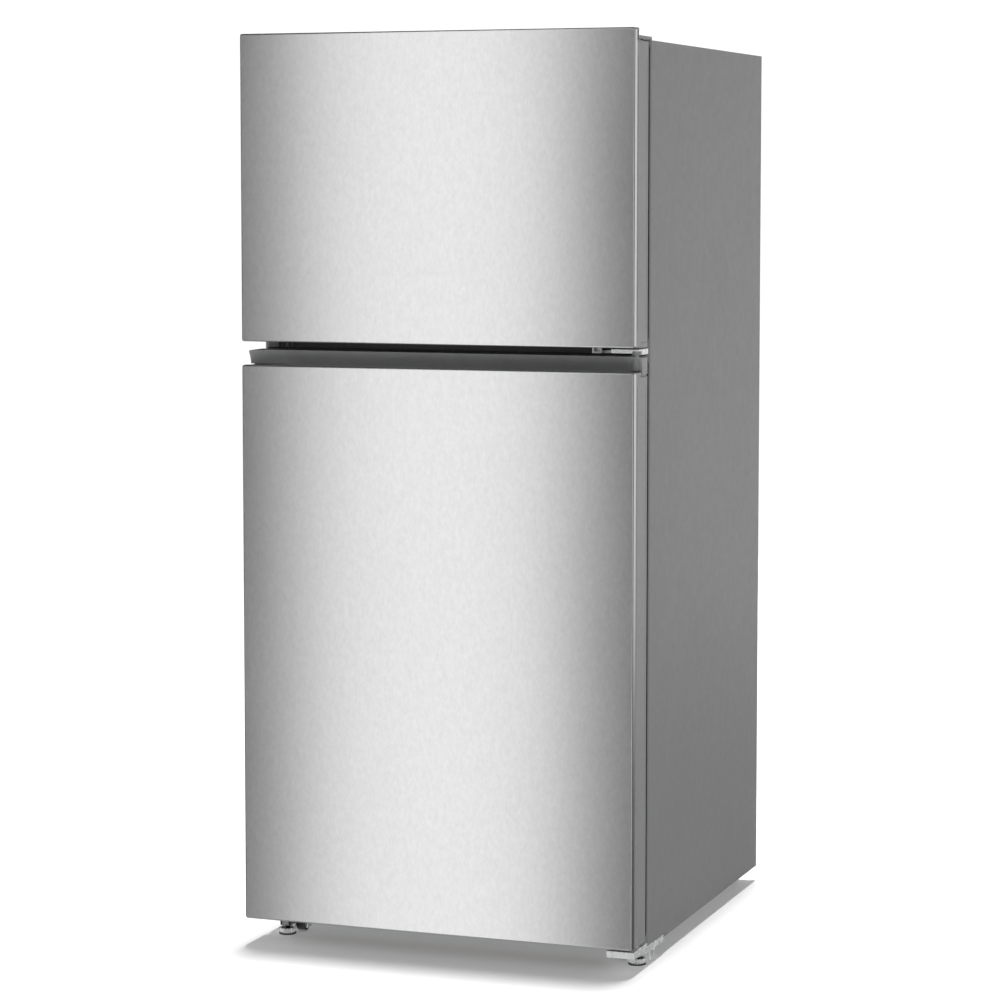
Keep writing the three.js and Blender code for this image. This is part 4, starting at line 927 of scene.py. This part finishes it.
def front_frame_details():
    """Folded lips at both ends of the centre rail, and the fine lines near its left end."""
    low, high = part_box("centre_rail")
    face = low.y - 0.2 * MM
    bm = bmesh.new()
    for x in (-high.x, high.x):
        bar(bm, (x, face, low.z), (x, face, high.z), 1 * MM)
    for inset in (17 * MM, 19.6 * MM, 28 * MM):
        x = low.x + inset
        bar(bm, (x, face, low.z), (x, face, high.z), 1.1 * MM)
    add_piece("centre_rail_lips", bm, "frame_paint", "cabinet")


centre_hinge_details()
bottom_hinge_details()
foot_collars()
front_frame_details()


# ---------- back ----------
def rear_screws():
    """Rows of screws round the rear wall and the machine compartment's cover."""
    low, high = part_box("back_panel")
    cover_low, cover_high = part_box("machine_cover")
    face = cover_high.y
    edge = 12 * MM
    places = []
    for x in (low.x + edge, high.x - edge):
        places += [(x, face, z) for z in spaced(low.z + 60 * MM, high.z - 60 * MM, 5)]
    places += [(x, face, high.z - edge) for x in spaced(low.x + 90 * MM, high.x - 90 * MM, 4)]
    for x in spaced(cover_low.x + edge, cover_high.x - edge, 5):
        places.append((x, face, cover_high.z - 9 * MM))
        places.append((x, face, cover_low.z + 10 * MM))
    screws("rear_screws", "zinc_steel", "cabinet", places, BACKWARDS)


def rear_hem():
    """The folded edge of the painted cabinet round the rear wall."""
    low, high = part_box("cabinet_wrapper")
    sheet = 1.2 * MM
    fold = 11 * MM
    front = high.y - 3.4 * MM
    back = front + 2.4 * MM
    top = high.z - sheet
    left = low.x + sheet
    right = high.x - sheet
    bm = bmesh.new()
    for x0, x1, bottom in (
        (left, low.x + fold, low.z),
        (high.x - fold, right, low.z),
        (left, right, high.z - fold),
    ):
        soft_block(bm, (x0, front, bottom), (x1, back, top), 0.5 * MM)
    add_piece("rear_hem", bm, "cabinet_paint", "cabinet")


def louvre_hoods():
    """A pressed hood over each slot of the machine compartment's cover."""
    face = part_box("machine_cover")[1].y
    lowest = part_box("drain_pan")[0].z + 55 * MM
    width = 120 * MM
    column_pitch = 160 * MM
    row_pitch = 22 * MM
    bm = bmesh.new()
    for column in range(4):
        x = (column - 1.5) * column_pitch - width / 2
        for row in range(7):
            z = lowest + row * row_pitch
            section = [
                (face - 0.6 * MM, z + 1 * MM),
                (face + 3 * MM, z - 3.4 * MM),
                (face + 2.4 * MM, z - 3.8 * MM),
                (face - 0.8 * MM, z),
            ]
            closed_loft(bm, [[Vector((end, *point)) for point in section] for end in (x, x + width)])
    add_piece("louvre_hoods", bm, "galvanised", "cabinet")


def compressor_details():
    """Terminal box, refrigerant pipes and the filter in the machine compartment."""
    low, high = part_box("compressor")
    middle = (low + high) / 2
    box_bm = bmesh.new()
    soft_block(
        box_bm,
        (high.x - 26 * MM, middle.y - 26 * MM, low.z + 60 * MM),
        (high.x + 14 * MM, middle.y + 26 * MM, low.z + 118 * MM),
        3 * MM,
    )
    add_piece("terminal_box", box_bm, "dark_plastic", "cabinet")
    pipes = bmesh.new()
    coil_low, coil_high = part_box("condenser")
    outlet = Vector((middle.x, low.y + 30 * MM, high.z - 4 * MM))
    coil_in = Vector((coil_low.x + 6 * MM, coil_high.y - 12 * MM, coil_high.z - 14 * MM))
    lift = high.z + 22 * MM
    turn = coil_in.x - 40 * MM
    run = [
        outlet,
        (outlet.x, outlet.y, lift),
        (turn, outlet.y, lift),
        (turn, coil_in.y, lift),
        (turn, coil_in.y, coil_in.z),
        coil_in,
    ]
    pipe(pipes, bent_path(run, 14 * MM), 3 * MM, 12)
    riser = low.x + 4 * MM
    port = low.z + 90 * MM
    beside = middle.y + 20 * MM
    suction = [
        (low.x + 30 * MM, beside, port),
        (riser, beside, port),
        (riser, beside, high.z + 30 * MM),
    ]
    pipe(pipes, bent_path(suction, 12 * MM), 4 * MM, 12)
    add_piece("refrigerant_pipes", pipes, "copper", "cabinet")
    drier = bmesh.new()
    start = Vector((coil_low.x + 10 * MM, coil_high.y - 12 * MM, coil_low.z + 16 * MM))
    profile = [(2.4, -46), (2.6, -36), (8, -26), (8.6, -22), (8.6, 22), (8, 26), (2.6, 36), (2.4, 46)]
    lathe(drier, start - RIGHT * 60 * MM, RIGHT, [(r * MM, h * MM) for r, h in profile])
    add_piece("filter_drier", drier, "copper", "cabinet")


def condenser_wires():
    """Thin upright wires welded across both faces of the condenser coil."""
    low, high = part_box("condenser")
    middle = (low.y + high.y) / 2
    bottom = low.z + 4 * MM
    top = high.z - 4 * MM
    bm = bmesh.new()
    for x in spaced(low.x + 24 * MM, high.x - 24 * MM, 32):
        for y in (middle - 5 * MM, middle + 5 * MM):
            bar(bm, (x, y, bottom), (x, y, top), 0.8 * MM, 6)
    add_piece("condenser_wires", bm, "black_steel", "cabinet")


rear_screws()
rear_hem()
louvre_hoods()
compressor_details()
condenser_wires()


# ---------- inside ----------
def lamp():
    """A frosted bulb above the lamp cover."""
    low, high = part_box("lamp_cover")
    middle = (low + high) / 2
    widths = [(5, -44), (7, -40), (7, -26), (10, -20), (14, -6), (15, 6), (12, 18), (6, 25), (1, 27)]
    profile = [(width / 2 * MM, along * MM) for width, along in widths]
    bm = bmesh.new()
    lathe(bm, (middle.x, middle.y, high.z - 2 * MM), BACKWARDS, profile)
    add_piece("lamp_bulb", bm, "white_plastic", "cabinet")


def knob_grip():
    """Fine flutes round the thermostat knob."""
    low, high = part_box("temperature_knob")
    centre = Vector(((low.x + high.x) / 2, low.y, (low.z + high.z) / 2))
    radius = (high.x - low.x) / 2
    bm = bmesh.new()
    count = 36
    for i in range(count):
        angle = 2 * math.pi * i / count
        place = centre + Vector((math.cos(angle), 0, math.sin(angle))) * (radius - 0.1 * MM)
        bar(bm, place + BACKWARDS * 6.5 * MM, place + BACKWARDS * 14.5 * MM, 0.6 * MM, 6)
    add_piece("knob_flutes", bm, "grey_plastic", "temperature_knob")


def shelf_trims():
    """A pale front trim with a rounded nose on each glass shelf and on the drawers' cover."""
    for node in ("shelf_frame_1", "shelf_frame_2", "crisper_cover"):
        low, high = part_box(node)
        middle = (low.z + high.z) / 2
        front = low.y + 0.8 * MM
        bm = bmesh.new()
        bar(bm, (low.x + 2 * MM, front, middle), (high.x - 2 * MM, front, middle), 5.2 * MM, 16)
        add_piece(node + "_trim", bm, "white_plastic", "cabinet")


def drawer_details():
    """A grip bar under the rim of each drawer, and two slim ribs across its front."""
    for side in ("left", "right"):
        low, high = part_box("crisper_" + side)
        middle = (low.x + high.x) / 2
        front = low.y + 1.2 * MM
        bm = bmesh.new()
        for z in (high.z - 60 * MM, high.z - 74 * MM):
            bar(bm, (low.x + 16 * MM, front, z), (high.x - 16 * MM, front, z), 1.2 * MM)
        half = 66 * MM
        y = low.y + 4 * MM
        z = high.z - 12 * MM
        bar(bm, (middle - half, y, z), (middle + half, y, z), 2 * MM, 10)
        add_piece("crisper_%s_details" % side, bm, "clear_plastic", "crisper_" + side)


def evaporator_cover_screws():
    """White screws near the four corners of the cover at the back of the freezer."""
    low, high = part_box("evaporator_cover")
    xs = (low.x + 26 * MM, high.x - 26 * MM)
    places = [(x, low.y, z) for x in xs for z in (low.z + 60 * MM, high.z - 40 * MM)]
    screws("evaporator_cover_screws", "white_plastic", "cabinet", places, -BACKWARDS, pan_screw)


lamp()
knob_grip()
shelf_trims()
drawer_details()
evaporator_cover_screws()


# ---------- surroundings ----------
FLOOR_RADIUS = 6
FLOOR_GLOW = 0.125  # keeps the floor white in front of the backdrop
SURROUND = 0.07  # what metal mirrors all round, so that the doors' edges fall dark
AMBIENT = 0.19  # soft light from all round on everything that isn't a mirror
BACKDROP = 1.05  # what the camera sees behind the object
GLOW = 0.42  # what metal mirrors far to the sides and from the floor, for the other views


def make_floor():
    """A pale, faintly glowing round floor, which the steel doors don't mirror."""
    bm = bmesh.new()
    bmesh.ops.create_circle(bm, cap_ends=True, segments=96, radius=FLOOR_RADIUS)
    mesh = bpy.data.meshes.new("floor")
    bm.to_mesh(mesh)
    bm.free()
    floor = bpy.data.objects.new("floor", mesh)
    bpy.context.scene.collection.objects.link(floor)
    floor.visible_glossy = False
    floor.visible_shadow = False
    white = (1, 1, 1, 1)
    look = Look("floor", (0.88, 0.88, 0.88), 0.8, Emission_Color=white, Emission_Strength=FLOOR_GLOW)
    mesh.materials.append(look.vary_colour(look.noise(2, 2), 0.01).material)


def ramp(tree, value, start, end, low=0.0, high=1.0):
    """Maps start..end of a value on to low..high; low and high may be other values."""
    node = tree.nodes.new("ShaderNodeMapRange")
    tree.links.new(value, node.inputs["Value"])
    node.inputs["From Min"].default_value = start
    node.inputs["From Max"].default_value = end
    for socket, level in (("To Min", low), ("To Max", high)):
        if isinstance(level, float):
            node.inputs[socket].default_value = level
        else:
            tree.links.new(level, node.inputs[socket])
    return node.outputs["Result"]


def combine(tree, operation, first, second):
    """One maths operation on two values."""
    node = tree.nodes.new("ShaderNodeMath")
    node.operation = operation
    tree.links.new(first, node.inputs[0])
    tree.links.new(second, node.inputs[1])
    return node.outputs["Value"]


def mirrored_light(tree):
    """How bright the studio is in metal: dim ahead of the doors, brighter to the sides and below."""
    direction = tree.nodes.new("ShaderNodeTexCoord").outputs["Generated"]
    parts = tree.nodes.new("ShaderNodeSeparateXYZ")
    tree.links.new(direction, parts.inputs["Vector"])
    ahead = ramp(tree, parts.outputs["Y"], -0.1, -0.4)
    right = combine(tree, "MULTIPLY", ramp(tree, parts.outputs["X"], 0.2, 0.6), ahead)
    left = ramp(tree, parts.outputs["X"], -0.75, -0.95)
    below = ramp(tree, parts.outputs["Z"], -0.4, -0.8)
    share = combine(tree, "MAXIMUM", combine(tree, "MAXIMUM", right, left), below)
    return ramp(tree, share, 0, 1, SURROUND, GLOW)


def make_world():
    """Soft light from all round, dim in reflections and white to the camera."""
    world = bpy.data.worlds.new("studio")
    bpy.context.scene.world = world
    world.use_nodes = True
    tree = world.node_tree
    background = tree.nodes["Background"]
    path = tree.nodes.new("ShaderNodeLightPath")
    soft = ramp(tree, path.outputs["Is Diffuse Ray"], 0, 1, mirrored_light(tree), AMBIENT)
    level = ramp(tree, path.outputs["Is Camera Ray"], 0, 1, soft, BACKDROP)
    tree.links.new(level, background.inputs["Strength"])
    background.inputs["Color"].default_value = (1, 1, 1, 1)


def add_light(name, data, place, target):
    """Puts a light where the camera doesn't see it, aimed at a target."""
    light = bpy.data.objects.new(name, data)
    bpy.context.scene.collection.objects.link(light)
    light.location = place
    light.rotation_euler = (Vector(target) - Vector(place)).to_track_quat("-Z", "Y").to_euler()
    light.visible_camera = False
    return light


def area_light(name, place, target, size, power):
    """A flat panel of the given width and height in metres, and power in watts."""
    data = bpy.data.lights.new(name, "AREA")
    data.shape = "RECTANGLE"
    data.size, data.size_y = size
    data.energy = power
    return add_light(name, data, place, target)


def sun_light(name, place, strength, angle):
    """Broad light from far away, which falls evenly over the whole floor."""
    data = bpy.data.lights.new(name, "SUN")
    data.energy = strength
    data.angle = math.radians(angle)
    return add_light(name, data, place, (0, 0, 0))


make_floor()
make_world()
overhead = sun_light("overhead", (0, 0.22, 4), 3.4, 5)
overhead.visible_glossy = False
area_light("front_strip", (-0.58, -1.9, 1.0), (-0.58, DOOR_FRONT, 1.0), (0.7, 6), 19)
side_strip = area_light("side_strip", (0.98, -1.9, 1.0), (0.98, DOOR_FRONT, 1.0), (0.55, 6), 11)
side_strip.visible_diffuse = False
area_light("right_panel", (3.2, 2.4, 1.3), (HIGH.x, 0, 0.9), (2.5, 3), 17)
area_light("rear_right_panel", (2.2, 4.6, 1.2), (HIGH.x, DOOR_FRONT, 0.9), (1.6, 3), 14)
area_light("left_panel", (-3.4, 1.2, 1.3), (LOW.x, 0, 0.9), (2.5, 3), 24)
area_light("back_panel_light", (-0.4, 4.6, 1.4), (0, HIGH.y, 0.9), (2.5, 3), 28)
bpy.context.scene.view_settings.view_transform = "Standard"
